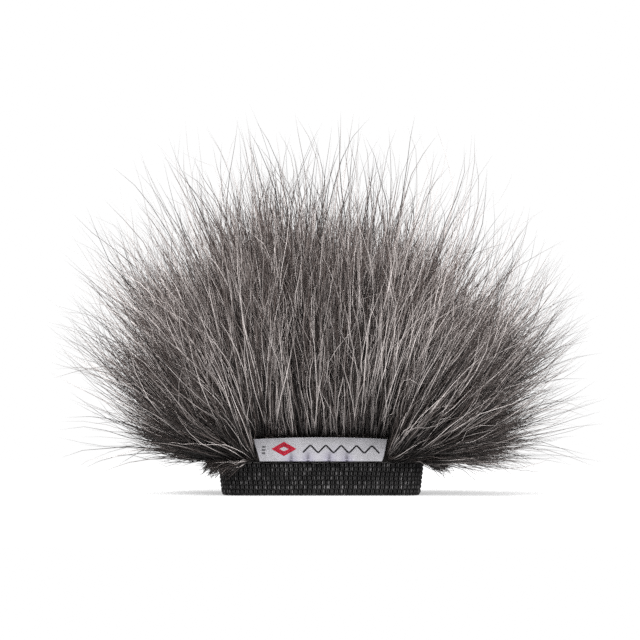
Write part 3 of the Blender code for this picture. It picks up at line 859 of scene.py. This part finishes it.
def build_fur():
    for kind, steps, style, rows in FUR_LAYERS:
        for where, count, clumps, length, seed, parts, density in rows:
            points, normals, panel = PANELS[where]
            count = max(int(count * COUNT_SCALE), 50)
            clumps = max(int(clumps * COUNT_SCALE ** 0.5), 20)
            hair = grow(points, normals, panel, count, clumps, length, steps, seed,
                        density=density, **style)
            # cut across a face panel, or round the gusset
            root = hair["root"]
            key = np.arctan2(root[:, 0], root[:, 2] - 30.0) if panel == GUSSET else root[:, 0]
            order = np.argsort(key, kind="stable")
            for i, pick in enumerate(np.array_split(order, parts)):
                pick = np.sort(pick)
                piece = {item: values[pick] for item, values in hair.items()}
                fibres = hair_mesh(f"{where}_{kind}_{i + 1}", piece)
    for where in ("front_panel", "back_panel", "gusset"):
        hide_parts(where + "_fur_pile")


def build_clipped_pile():
    """Pile clipped short behind the label, lying up against the ground fabric."""
    rng = np.random.default_rng(71)
    count = max(int(6000 * COUNT_SCALE), 50)
    x = rng.uniform(-27.0, 27.0, count)
    z = rng.uniform(PILE_Z + 0.1, LABEL_Z1 + 0.6, count)
    along = np.linspace(0, 1, 5)[None, :]
    rise = 1.5 + 1.0 * rng.random((count, 1))
    stand = 0.35 + 0.35 * rng.random((count, 1))
    sway = 0.45 * rng.standard_normal((count, 1)) + 0.022 * x[:, None]
    path = np.stack([x[:, None] + sway * along ** 1.3,
                     0.12 - SOCK_D - stand * np.sqrt(along),
                     z[:, None] + rise * along], -1)
    radius = 0.13 * (0.6 + 0.7 * rng.random(count))
    shade = 0.62 * rng.random(count) + 0.02
    hair = dict(path=path, radius=radius, shade=shade, band=rng.random((count, 2)))
    hair_mesh("front_panel_clipped_pile", hair)


build_fur()
build_clipped_pile()


# ------------------------------------------------------------------ knitted elastic cuff
def plan_table():
    """Plan outline from the rear middle, anticlockwise from above: length, x, y, normal x, y."""
    step = 0.05
    w, d, r = CUFF_W, CUFF_D, CUFF_R
    flat_w, flat_d = w - r, d - r
    # straight: length, start, direction, normal; then the corner after it: centre, start angle
    runs = (
        (flat_w, (0.0, d), (-1.0, 0.0), (0.0, 1.0), (-flat_w, flat_d), 90.0),
        (2 * flat_d, (-w, flat_d), (0.0, -1.0), (-1.0, 0.0), (-flat_w, -flat_d), 180.0),
        (2 * flat_w, (-flat_w, -d), (1.0, 0.0), (0.0, -1.0), (flat_w, -flat_d), 270.0),
        (2 * flat_d, (w, -flat_d), (0.0, 1.0), (1.0, 0.0), (flat_w, flat_d), 0.0),
        (flat_w, (flat_w, d), (-1.0, 0.0), (0.0, 1.0), None, None),
    )
    rows, done = [], 0.0

    def stations(length):
        return np.linspace(0, length, max(int(length / step), 2), endpoint=False)

    for length, start, way, normal, centre, start_angle in runs:
        for s in stations(length):
            rows.append((done + s, start[0] + way[0] * s, start[1] + way[1] * s, *normal))
        done += length
        if centre:
            length = r * math.pi / 2
            for s in stations(length):
                angle = math.radians(start_angle) + s / r
                cos, sin = math.cos(angle), math.sin(angle)
                rows.append((done + s, centre[0] + r * cos, centre[1] + r * sin, cos, sin))
            done += length
    rows.append((done,) + rows[0][1:])
    return np.array(rows), done


def profile_table():
    """Down the outer ply, round the folded rim, up the inner ply.

    Columns: length, inset, height, outward and upward normal.
    """
    straight = CUFF_TOP - 0.2 - RIM_R
    arc = RIM_R * math.pi / 2
    quarter = np.linspace(0, math.pi / 2, 16, endpoint=False)
    rows = []
    for s in np.linspace(0, straight, 40, endpoint=False):
        rows.append((s, 0.0, CUFF_TOP - 0.2 - s, 1.0, 0.0))
    done = straight
    for a in quarter:
        inset, height = RIM_R - RIM_R * math.cos(a), RIM_R - RIM_R * math.sin(a)
        rows.append((done + RIM_R * a, inset, height, math.cos(a), -math.sin(a)))
    done += arc
    rows.append((done, RIM_R, 0.0, 0.0, -1.0))
    done += CUFF_WALL - 2 * RIM_R
    for a in quarter:
        inset, height = CUFF_WALL - RIM_R + RIM_R * math.sin(a), RIM_R - RIM_R * math.cos(a)
        rows.append((done + RIM_R * a, inset, height, -math.sin(a), -math.cos(a)))
    done += arc
    for s in np.linspace(0, straight, 40):
        rows.append((done + s, CUFF_WALL, RIM_R + s, -1.0, 0.0))
    return np.array(rows), done + straight


PLAN, PLAN_LEN = plan_table()
PROFILE, PROFILE_LEN = profile_table()
COURSES, WALES = 16, 128               # knit rows down the profile, columns round the loop
OUTER_COURSES = 9


def look_up(table, value):
    return [np.interp(value, table[:, 0], table[:, i]) for i in (1, 2, 3, 4)]


def flare(z):
    return 1.0 + (CUFF_FLARE - 1.0) * z / CUFF_TOP


def cuff_surface(s, down, depth):
    """Point and normal at s round the loop and so far down the profile, depth below the surface."""
    x, y, plan_x, plan_y = look_up(PLAN, np.mod(s, PLAN_LEN))
    inset, z, out, up = look_up(PROFILE, np.clip(down, 0.0, PROFILE_LEN))
    size = np.hypot(out, up)
    out, up = out / size, up / size
    angle = 2 * math.pi * s / PLAN_LEN
    body = ease(0.0, 3.0, z)
    swell = body * (0.16 * np.sin(5 * angle + 0.6) + 0.10 * np.sin(11 * angle + 2.1)
                    + 0.06 * np.sin(23 * angle + 0.3))
    # the ends of the elastic overlap at the rear middle, under the bar tack
    away = np.minimum(s % PLAN_LEN, PLAN_LEN - s % PLAN_LEN)
    swell = swell * ease(2.0, 9.0, away) + 0.22 * ease(6.2, 5.2, away) * np.maximum(out, 0)
    inset = inset - swell * np.where(out >= 0, 1.0, 0.6) + depth * out
    ripple = 0.12 * body * np.sin(4 * angle + 1.0) * ease(CUFF_TOP, CUFF_TOP - 3.0, z)
    height = z - depth * up + ripple
    point = np.stack([(x - plan_x * inset) * flare(height), y - plan_y * inset, height], -1)
    return point, np.stack([plan_x * out, plan_y * out, up], -1)


def cuff_knit(name, courses, steps, sides, seed):
    """Looped yarns, one per course, with so many steps to a loop."""
    rng = np.random.default_rng(seed)
    t = (np.arange(WALES * steps) / steps)[None, :]
    phase = t % 1.0
    row = np.array(courses, float)[:, None]
    turn = 2 * math.pi * t / WALES
    wobble = 0.10 * np.sin(3 * turn + row) + 0.05 * np.sin(17 * turn + 2.3 * row)
    bulge = 0.12 * np.sin(4 * math.pi * phase) + 0.075 * np.sin(2 * math.pi * phase)
    s = (t + bulge + 0.10 * np.sin(row * 1.7)) * (PLAN_LEN / WALES)
    down = row + 0.5 + 0.47 * np.cos(2 * math.pi * phase) + 0.5 * wobble
    down = down * (PROFILE_LEN / COURSES)
    depth = np.broadcast_to(0.36 + 0.17 * np.cos(4 * math.pi * phase), s.shape)
    points, normals = cuff_surface(s, down, depth)
    # near black yarn; every leg gets a painted highlight, and some legs are paler fleck yarn, most of
    # all on course 5
    shape = (len(courses), WALES, 2)
    dull = 0.5 + 1.0 * rng.random(shape)
    is_pale = rng.random(shape) < 0.42
    # painted highlight: a lighter floor on every leg, plus random pale fleck yarn on some legs
    sheen_and_fleck = 0.16 + np.where(is_pale, 0.75 * rng.random(shape) ** 1.6, 0.0)
    sheen_and_fleck = sheen_and_fleck * np.where(np.array(courses) == 5, 1.6, 1.0)[:, None, None]
    loop = np.floor(t).astype(int) % WALES
    side = (phase > 0.5).astype(int)
    leg = np.exp(-((np.abs(phase - 0.5) - 0.25) / 0.12) ** 2)
    row = np.arange(len(courses))[:, None]
    value = 0.0098 * dull[row, loop, side] + 0.150 * sheen_and_fleck[row, loop, side] * leg
    tint = value[:, :, None] * np.array((1.0, 0.97, 0.98))
    knit = tubes(name, points, normals, 0.225, sides, True, ELASTIC_YARN, tint)
    sock_part(knit)
    return knit


def build_cuff_core():
    """Dark body under the knit: a closed loop, its two plies joined by a rounded top."""
    around = np.arange(400) / 400 * PLAN_LEN
    down = np.concatenate([np.linspace(PROFILE_LEN * start, PROFILE_LEN * stop, count)
                           for start, stop, count in ((0, 0.42, 16), (0.43, 0.57, 20), (0.58, 1, 16))])
    points, _ = cuff_surface(*np.meshgrid(around, down, indexing="ij"), 0.46)
    top = 0.5 * (points[:, -1:] + points[:, :1]) + np.array((0, 0, 0.25))
    points = np.concatenate([points, top], 1)
    rows, cols = points.shape[:2]
    verts = points.reshape(-1, 3)
    i, j = grid_cells(rows, cols)
    row, row_next, col_next = i * cols, (i + 1) % rows * cols, (j + 1) % cols
    quads = np.stack([row + j, row_next + j, row_next + col_next, row + col_next], 1)
    uv = (np.stack([i, j], 1)[:, None] + SQUARE) / np.array((rows, cols))
    if not faces_outward(verts, quads):
        quads, uv = quads[:, ::-1], uv[:, ::-1]
    core = array_mesh("cuff_elastic_core", verts, quads, ELASTIC_CORE, uv=uv)
    sock_part(core)


outer_knit = cuff_knit("cuff_elastic_outer_knit", range(OUTER_COURSES),
                       steps=12, sides=5, seed=51)
cuff_knit("cuff_elastic_inner_knit", range(OUTER_COURSES, COURSES),
          steps=10, sides=4, seed=52)
build_cuff_core()
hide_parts("cuff_elastic_front_run", "cuff_elastic_rear_run")


def build_cuff_seam():
    """Grey stitches between the cuff and the fur hem, dipping into the cloth between them."""
    stitches = 62
    k = np.arange(stitches * 16) / 16.0
    phase = k % 1.0
    dip = ease(0.72, 0.84, phase) * ease(1.0, 0.90, phase)
    z = 12.62 + 0.10 * np.sin(k * 2.399) + 0.55 * dip
    x, y, normal_x, normal_y = look_up(PLAN, np.mod(k * (PLAN_LEN / stitches), PLAN_LEN))
    lift = 0.16 + 0.06 * np.sin(math.pi * np.clip(phase / 0.72, 0, 1)) - 0.55 * dip
    wider = flare(np.minimum(z, CUFF_TOP))
    path = np.stack([(x + normal_x * lift) * wider, y + normal_y * lift, z], -1)
    facing = np.stack([normal_x, normal_y, np.zeros_like(normal_x)], -1)
    seam = tubes("cuff_seam_stitching", path[None], facing[None], 0.10, 5, True, SEAM_THREAD)
    sock_part(seam)
    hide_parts("cuff_seam_thread")


def build_bar_tack():
    """Zigzag of thread over the join of the elastic, at the rear."""
    turns = 30
    k = np.arange(turns * 10 + 1) / 10.0
    z = 1.5 + 9.8 * k / turns
    x = 2.1 * np.sin(math.pi * k) * (1 + 0.05 * np.sin(k * 4.1))
    y = CUFF_D + 0.42 + 0.10 * np.cos(2 * math.pi * k) + 0.02 * np.sin(k * 2.1)
    path = np.stack([x, y, z], -1)[None]
    facing = np.array((0.0, 1.0, 0.0))
    tack = tubes("cuff_join_bar_tack", path, facing, 0.17, 6, False, GREY_THREAD)
    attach(tack, "cuff_rear")
    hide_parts("cuff_join_tack_thread")


build_cuff_seam()
build_bar_tack()

# ------------------------------------------------------------------ ground fabric
RIB = 1.25                             # pitch of the knit ribs
COURSE = 1.5                           # pitch of the knit rows
CLOTH_COLOUR = np.array((1.0, 0.93, 0.90))


def rib_wave(distance):
    return np.cos(2 * math.pi * distance / RIB)


def rib_highlight_tint(pattern, z):
    """Painted highlight on the crest of each knit rib; darker towards the hem."""
    value = 0.020 + 0.016 * (0.5 + 0.5 * pattern)
    value = value * (0.8 + 0.2 * ease(12.0, 24.0, z))
    return (value[..., None] * CLOTH_COLOUR).reshape(-1, 3)


def panel_cloth(place, mirror):
    """Face panel, ribbed inside and gathered at the hem."""
    across, up = ((330, 84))
    outer, outer_normal = dish(across, up, HEM_Z, 0.0)
    inner, inner_normal = dish(across, up, HEM_Z, -FABRIC)
    x, z = inner[..., 0], inner[..., 2]
    ribs = rib_wave(x)
    slant = 0.3 * np.abs(((x / RIB) % 1.0) - 0.5)
    rows = np.cos(2 * math.pi * (z + slant) / COURSE)
    gather = 0.35 * ease(26.0, 13.0, z) * np.sin(2 * math.pi * x / 6.5 + 0.8)
    inner = inner + inner_normal * (0.10 * ribs + 0.05 * rows + gather)[..., None]
    outer = outer - outer_normal * (0.05 + 0.05 * rib_wave(outer[..., 0]))[..., None]
    for grid in (outer, inner):
        grid[..., 2] = np.maximum(grid[..., 2], HEM_Z)
    tint = np.concatenate([rib_highlight_tint(np.zeros_like(x), outer[..., 2]),
                           rib_highlight_tint(ribs * 0.6 + rows * 0.4, z)])
    cloth = shell(f"{place}_backing", outer * mirror, inner * mirror, BACKING, tint)
    sock_part(cloth)
    return cloth


def gusset_cloth():
    around, deep = ((260, 84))
    outer, _ = gusset(around, deep, HEM_Z, 0.0)
    inner, normal = gusset(around, deep, HEM_Z, -FABRIC)
    for grid in (outer, inner):
        grid[..., 1] *= (SEAM_Y - 0.05) / SEAM_Y
    y = inner[..., 1]
    ribs = rib_wave(y)
    rows = np.cos(2 * math.pi * np.linspace(0, 150, around)[:, None] / COURSE)
    gather = 0.25 * ease(26.0, 13.0, inner[..., 2]) * np.sin(y * 0.9)
    inner = inner + normal * (0.10 * ribs + 0.05 * rows + gather)[..., None]
    tint = np.concatenate([rib_highlight_tint(np.zeros_like(ribs), outer[..., 2]),
                           rib_highlight_tint(ribs * 0.6 + rows * 0.4, inner[..., 2])])
    cloth = shell("gusset_backing", outer, inner, BACKING, tint)
    sock_part(cloth)
    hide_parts("gusset_ground_fabric")


front_cloth = panel_cloth("front_panel", np.array((1, 1, 1)))
back_cloth = panel_cloth("back_panel", TO_BACK)
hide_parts("front_panel_ground_fabric")
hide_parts("back_panel_ground_fabric")
gusset_cloth()

# ------------------------------------------------------------------ seams inside the bag
SEAM_INSET = FABRIC + 0.85             # middle of the seam allowances, in from the outside


def overlock_thread(place, sign):
    """Thread wound round the seam allowances."""
    line, normal, along = arch_line(HEM_Z + 0.9, -SEAM_INSET, step=0.15)
    phase = 2 * math.pi * along / 1.7
    inset = (0.62 + 0.05 * np.sin(along * 0.9)) * 0.78 * np.sin(phase)
    path = np.stack([line[:, 0] - normal[:, 0] * inset,
                     sign * SEAM_Y + 1.0 * np.cos(phase) + 0.08 * np.sin(along * 1.3),
                     line[:, 1] - normal[:, 1] * inset], 1)
    facing = np.stack([-normal[:, 0] * np.sin(phase), np.cos(phase),
                       -normal[:, 1] * np.sin(phase)], 1)
    lock = tubes(f"{place}_gusset_overlock_thread", path[None], facing[None], 0.15, 5, False,
                 BLACK_THREAD)
    sock_part(lock)
    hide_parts(f"{place}_gusset_seam_thread")


def seam_allowance(place, sign):
    """The two trimmed fabric edges under the thread, as one rounded bar."""
    line, normal, along = arch_line(HEM_Z + 0.6, -SEAM_INSET, step=0.8)
    wobble = 0.05 * np.sin(along * 0.7 + sign) + 0.04 * np.sin(along * 2.3)
    half_y, half_thick = 0.80 + wobble, 0.36 + 0.4 * wobble

    def squarish(value):
        return math.copysign(abs(value) ** 0.6, value)

    sides = 12
    rings = []
    for angle in np.linspace(0, 2 * math.pi, sides, endpoint=False):
        inset = squarish(math.sin(angle)) * half_thick
        rings.append(np.stack([line[:, 0] - normal[:, 0] * inset,
                               sign * SEAM_Y + half_y * squarish(math.cos(angle)),
                               line[:, 1] - normal[:, 1] * inset], 1))
    rings = np.stack(rings, 1)
    count = len(rings)
    verts = np.concatenate([rings.reshape(-1, 3), rings[:1].mean(1), rings[-1:].mean(1)])
    i, j = grid_cells(count - 1, sides)
    here, beside = i * sides + j, i * sides + (j + 1) % sides
    quads = np.stack([here, beside, beside + sides, here + sides], 1)
    start, last = count * sides, (count - 1) * sides
    tris = np.array([(start, (j + 1) % sides, j) for j in range(sides)]
                    + [(start + 1, last + j, last + (j + 1) % sides) for j in range(sides)])
    if not faces_outward(verts, quads):
        quads, tris = quads[:, ::-1], tris[:, ::-1]
    tint = np.full((len(verts), 3), 0.03) * CLOTH_COLOUR
    allowance = array_mesh(f"{place}_gusset_seam_allowance", verts, quads, BACKING, tris, tint=tint)
    sock_part(allowance)


for place, sign in (("front", -1.0), ("back", 1.0)):
    overlock_thread(place, sign)
    seam_allowance(place, sign)

# ------------------------------------------------------------------ woven label
# x at the sewn edge, depth, width, slope
CREASES = ((-11.5, 0.62, 0.55, 0.04), (-5.0, 0.70, 0.60, -0.02),
           (3.1, 0.66, 0.55, 0.05), (9.9, 0.80, 0.60, -0.06))
# pale satin colour, and the painted shade colour of its creases
PALE_SATIN, CREASE_SHADE_SATIN = np.array((0.374, 0.368, 0.390)), np.array((0.235, 0.218, 0.300))


def label_y(x, v):
    """Middle of the label, v from 0 at the sewn edge to 1 at the free, curling top."""
    y = LABEL_Y - 0.10 - 0.28 * v ** 2 + 0.10 * np.sin(x * 0.21 + 0.5) * v
    gather = np.exp(-((x + 0.8) / 15.0) ** 4)
    y = y - 0.30 * gather * (1 - v) ** 1.2
    for crease_x, depth, width, slope in CREASES:
        away = (x - crease_x - slope * v * LABEL_H) / (width * (1 + 1.4 * v))
        y = y + depth * np.exp(-away * away) * np.clip(1 - v / 0.62, 0, 1) ** 1.3
    return y


def label_height(x):
    """Height of the label, a little less towards the ends."""
    return LABEL_H - 0.7 * (x / LABEL_HW) ** 2


def crease_shade_mask(x, v, width, reach, power):
    """Painted shade mask: 1 in the creases, fading over width and upwards to reach."""
    mask = np.zeros_like(x)
    for crease_x, _, _, slope in CREASES:
        away = (x - crease_x - slope * v * LABEL_H) / width
        mask = np.maximum(mask, np.exp(-away * away) * np.clip(1 - v / reach, 0, 1) ** power)
    return mask


def build_label():
    across, up = ((300, 44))
    u, v = np.meshgrid(np.linspace(0, 1, across), np.linspace(0, 1, up), indexing="ij")
    left, right = -(23.4 + 2.6 * v ** 1.1), 23.2 + 2.1 * v ** 0.7
    x = left + (right - left) * u
    y = label_y(x, v)
    z = LABEL_Z0 + v * label_height(x) + 0.04 * np.sin(x * 5.1) * (v > 0.99)
    half = 0.16 - 0.05 * (v > 0.985)
    # painted shade in the creases: a broad bluish shade and a narrow dark core, with some random
    # mottling mixed in
    shade = crease_shade_mask(x, v, width=2.6, reach=0.55, power=1.0)
    core = crease_shade_mask(x, v, width=0.55, reach=0.42, power=0.7)
    places = np.stack([x.ravel(), z.ravel() * 1.6, 0 * x.ravel()], 1)
    cloud = value_noise(places, 5.0, 77).reshape(x.shape)
    crease_shade_and_mottle = np.clip(shade * 0.85 + 0.12 * cloud, 0, 1)[..., None]
    colour = PALE_SATIN + (CREASE_SHADE_SATIN - PALE_SATIN) * crease_shade_and_mottle
    colour = colour * (1 + 0.07 * cloud[..., None]) * (1 - 0.62 * core[..., None])
    tint = np.tile(colour.reshape(-1, 3), (2, 1))
    label = shell("woven_satin_label", np.stack([x, y - half, z], -1),
                  np.stack([x, y + half, z], -1), SATIN, tint)
    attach(label, "label")
    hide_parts("woven_label")


def stitch_set(name, starts, ends, radius, mat, lift=0.05, steps=6):
    """Raised short stitches from start to end, given as x, z on the label's front."""
    starts, ends = np.array(starts, float), np.array(ends, float)
    t = np.linspace(0, 1, steps)[None, :, None]
    middle = starts[:, None] * (1 - t) + ends[:, None] * t
    x, z = middle[..., 0], middle[..., 1]
    hump = np.sin(math.pi * t[:, :, 0]) ** 0.5 * lift - 0.03
    v = np.clip((z - LABEL_Z0) / label_height(x), 0, 1)
    paths = np.stack([x, label_y(x, v) - 0.17 - hump, z], -1)
    facing = np.array((0.0, -1.0, 0.0))
    stitches = tubes(name, paths, facing, radius, 4, False, mat)
    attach(stitches, "label")
    return stitches


def build_lozenge():
    """Red satin-stitch lozenge with a small open middle."""
    middle_x, middle_z = 14.2, 18.05   # the lozenge is at -middle_x
    starts, ends = [], []
    for x in np.arange(-19.0, -9.4, 0.19):
        height = 2.75 * (1 - abs(x + middle_x) / 4.85)
        hole = max(0.0, 1 - abs(x + middle_x) / 1.8) * 0.85
        low, high = middle_z - height, middle_z + height
        runs = ((middle_z + hole, high), (low, middle_z - hole)) if hole > 0 else ((low, high),)
        for z0, z1 in runs:
            if z1 - z0 <= 0.15:
                continue
            pieces = max(1, int(math.ceil((z1 - z0) / 1.4)))
            for i in range(pieces):
                starts.append((x, z0 + (z1 - z0) * i / pieces + 0.02))
                ends.append((x + 0.02, z0 + (z1 - z0) * (i + 1) / pieces - 0.02))
    stitch_set("label_lozenge_stitches", starts, ends, 0.105, RED_THREAD)


def build_zigzag():
    """Zigzag line, with stitches laid across it."""
    left, pitch, sharp = -7.0, 5.88, 0.965
    half_width = 0.31
    x = np.arange(left, 22.4, 0.02)
    wave = np.sin(2 * math.pi * (x - left) / pitch - math.pi / 2)
    wave = np.arcsin(sharp * wave) / math.asin(sharp)
    z = 17.95 + 1.35 * wave - 0.012 * (x - 8)
    steps = np.linalg.norm(np.diff(np.stack([x, z], 1), axis=0), axis=1)
    along = np.concatenate([[0], np.cumsum(steps)])
    places = np.arange(0.1, along[-1], 0.155)
    x, z = np.interp(places, along, x), np.interp(places, along, z)
    way_x, way_z = np.gradient(x), np.gradient(z)
    size = np.hypot(way_x, way_z)
    across_x, across_z = -way_z / size, way_x / size
    flip = np.sign(across_x * 0.8 + across_z * 0.6)
    half = np.stack([across_x * flip, across_z * flip], 1) * half_width
    line = np.stack([x, z], 1)
    stitch_set("label_zigzag_stitches", line - half, line + half, 0.085, INK_THREAD)


def build_ticks():
    """Three small ticks at the left end."""
    starts = [(-22.7 + 0.04 * i, 16.1 + 0.24 * j + 1.25 * i) for i in range(3) for j in range(3)]
    ends = [(x + 1.45, z + 0.03) for x, z in starts]
    stitch_set("label_tick_stitches", starts, ends, 0.085, INK_THREAD)


def build_selvage_dashes():
    """Dashes along the top edge."""
    starts = [(x, LABEL_Z0 + label_height(x) - 0.62) for x in np.arange(-24.6, 24.2, 0.86)]
    ends = [(x + 0.5, z + 0.01) for x, z in starts]
    stitch_set("label_selvage_dashes", starts, ends, 0.07, LABEL_THREAD, lift=0.03)


def build_label_hem():
    """Stitches along the sewn edge."""
    columns = np.arange(-22.6, 21.0, 2.1)
    z = LABEL_Z0 + 0.62
    starts = [(x, z + 0.05 * math.sin(x)) for x in columns]
    ends = [(x + 1.6, z + 0.05 * math.sin(x + 1.7)) for x in columns]
    hem = stitch_set("label_hem_stitches", starts, ends, 0.10, LABEL_THREAD, lift=0.07, steps=9)
    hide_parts("label_stitch_thread")


build_label()
build_lozenge()
build_zigzag()
build_ticks()
build_selvage_dashes()
build_label_hem()


# ------------------------------------------------------------------ stage, in metres
def floor_material():
    """White floor that fades into the white background; objects get a dimmer bounce from it."""
    mat, nt, bsdf = new_mat("floor")
    bsdf.inputs["Base Color"].default_value = (0.93, 0.93, 0.93, 1)
    bsdf.inputs["Roughness"].default_value = 0.95
    bsdf.inputs["Specular IOR Level"].default_value = 0.1
    bounce = add_node(nt, "ShaderNodeBsdfDiffuse", Color=(0.30, 0.30, 0.30, 1))
    glow = add_node(nt, "ShaderNodeEmission", Color=(1, 1, 1, 1), Strength=1.0)
    ray = nt.nodes.new("ShaderNodeLightPath")
    seen = add_node(nt, "ShaderNodeMixShader", {"Fac": ray.outputs["Is Camera Ray"],
                                                1: bounce.outputs["BSDF"],
                                                2: bsdf.outputs["BSDF"]})
    position = nt.nodes.new("ShaderNodeNewGeometry").outputs["Position"]
    distance = add_node(nt, "ShaderNodeVectorMath", {0: position})
    distance.operation = "LENGTH"
    reach = remap(nt, distance.outputs["Value"], low=0.45, high=1.0, start=0.06, stop=0.42)
    reach.node.interpolation_type = "SMOOTHSTEP"
    fade = add_node(nt, "ShaderNodeMixShader", {"Fac": reach, 1: seen.outputs["Shader"],
                                                2: glow.outputs["Emission"]})
    nt.links.new(fade.outputs["Shader"], nt.nodes["Material Output"].inputs["Surface"])
    return mat


def build_floor(half=3.0):
    mat = floor_material()
    mesh = bpy.data.meshes.new("floor")
    corners = [(-half, -half, 0), (half, -half, 0), (half, half, 0), (-half, half, 0)]
    mesh.from_pydata(corners, [], [(0, 1, 2, 3)])
    mesh.update()
    mesh.materials.append(mat)
    floor = bpy.data.objects.new("floor", mesh)
    bpy.context.scene.collection.objects.link(floor)


def set_world():
    # a world or its background node may already be there
    world = bpy.data.worlds[0] if bpy.data.worlds else bpy.data.worlds.new("studio")
    bpy.context.scene.world = world
    world.use_nodes = True
    nt = world.node_tree
    background = nt.nodes.get("Background") or nt.nodes.new("ShaderNodeBackground")
    background.inputs["Color"].default_value = (1, 1, 1, 1)
    ray = nt.nodes.new("ShaderNodeLightPath")
    # low lights the object, high is what the camera sees
    level = remap(nt, ray.outputs["Is Camera Ray"], low=0.80, high=1.0, start=0.0, stop=1.0)
    nt.links.new(level, background.inputs["Strength"])


def aim_at(thing, target):
    thing.rotation_mode = "QUATERNION"
    thing.rotation_quaternion = (target - thing.location).to_track_quat("-Z", "Y")


def area_light(name, place, target_z, size, power):
    light = bpy.data.lights.new(name, "AREA")
    light.energy, light.size = power, size
    lamp = bpy.data.objects.new(name, light)
    lamp.location = place
    aim_at(lamp, Vector((0, 0, target_z)))
    bpy.context.scene.collection.objects.link(lamp)


def add_camera():
    distance = 1.70                    # from the cuff's front face
    frame_width = 0.2448               # width of the view at that face
    camera = bpy.data.objects.new("camera", bpy.data.cameras.new("camera"))
    bpy.context.scene.collection.objects.link(camera)
    bpy.context.scene.camera = camera
    camera.data.sensor_width = 36.0
    camera.data.lens = camera.data.sensor_width * distance / frame_width
    camera.data.clip_start, camera.data.clip_end = 0.05, 20.0
    target = Vector((-0.0004, -CUFF_D * MM, 0.0673))
    camera.location = target + Vector((0, -distance, 0))
    aim_at(camera, target)


build_floor()
set_world()
area_light("key", (-0.45, -0.75, 0.75), target_z=0.06, size=0.5, power=14)
area_light("fill", (0.7, -0.6, 0.35), target_z=0.06, size=0.6, power=6)
area_light("top", (0.0, 0.25, 0.9), target_z=0.08, size=0.6, power=8)
add_camera()

bpy.context.scene.view_settings.view_transform = "Standard"
bpy.context.scene.cycles.use_denoising = False
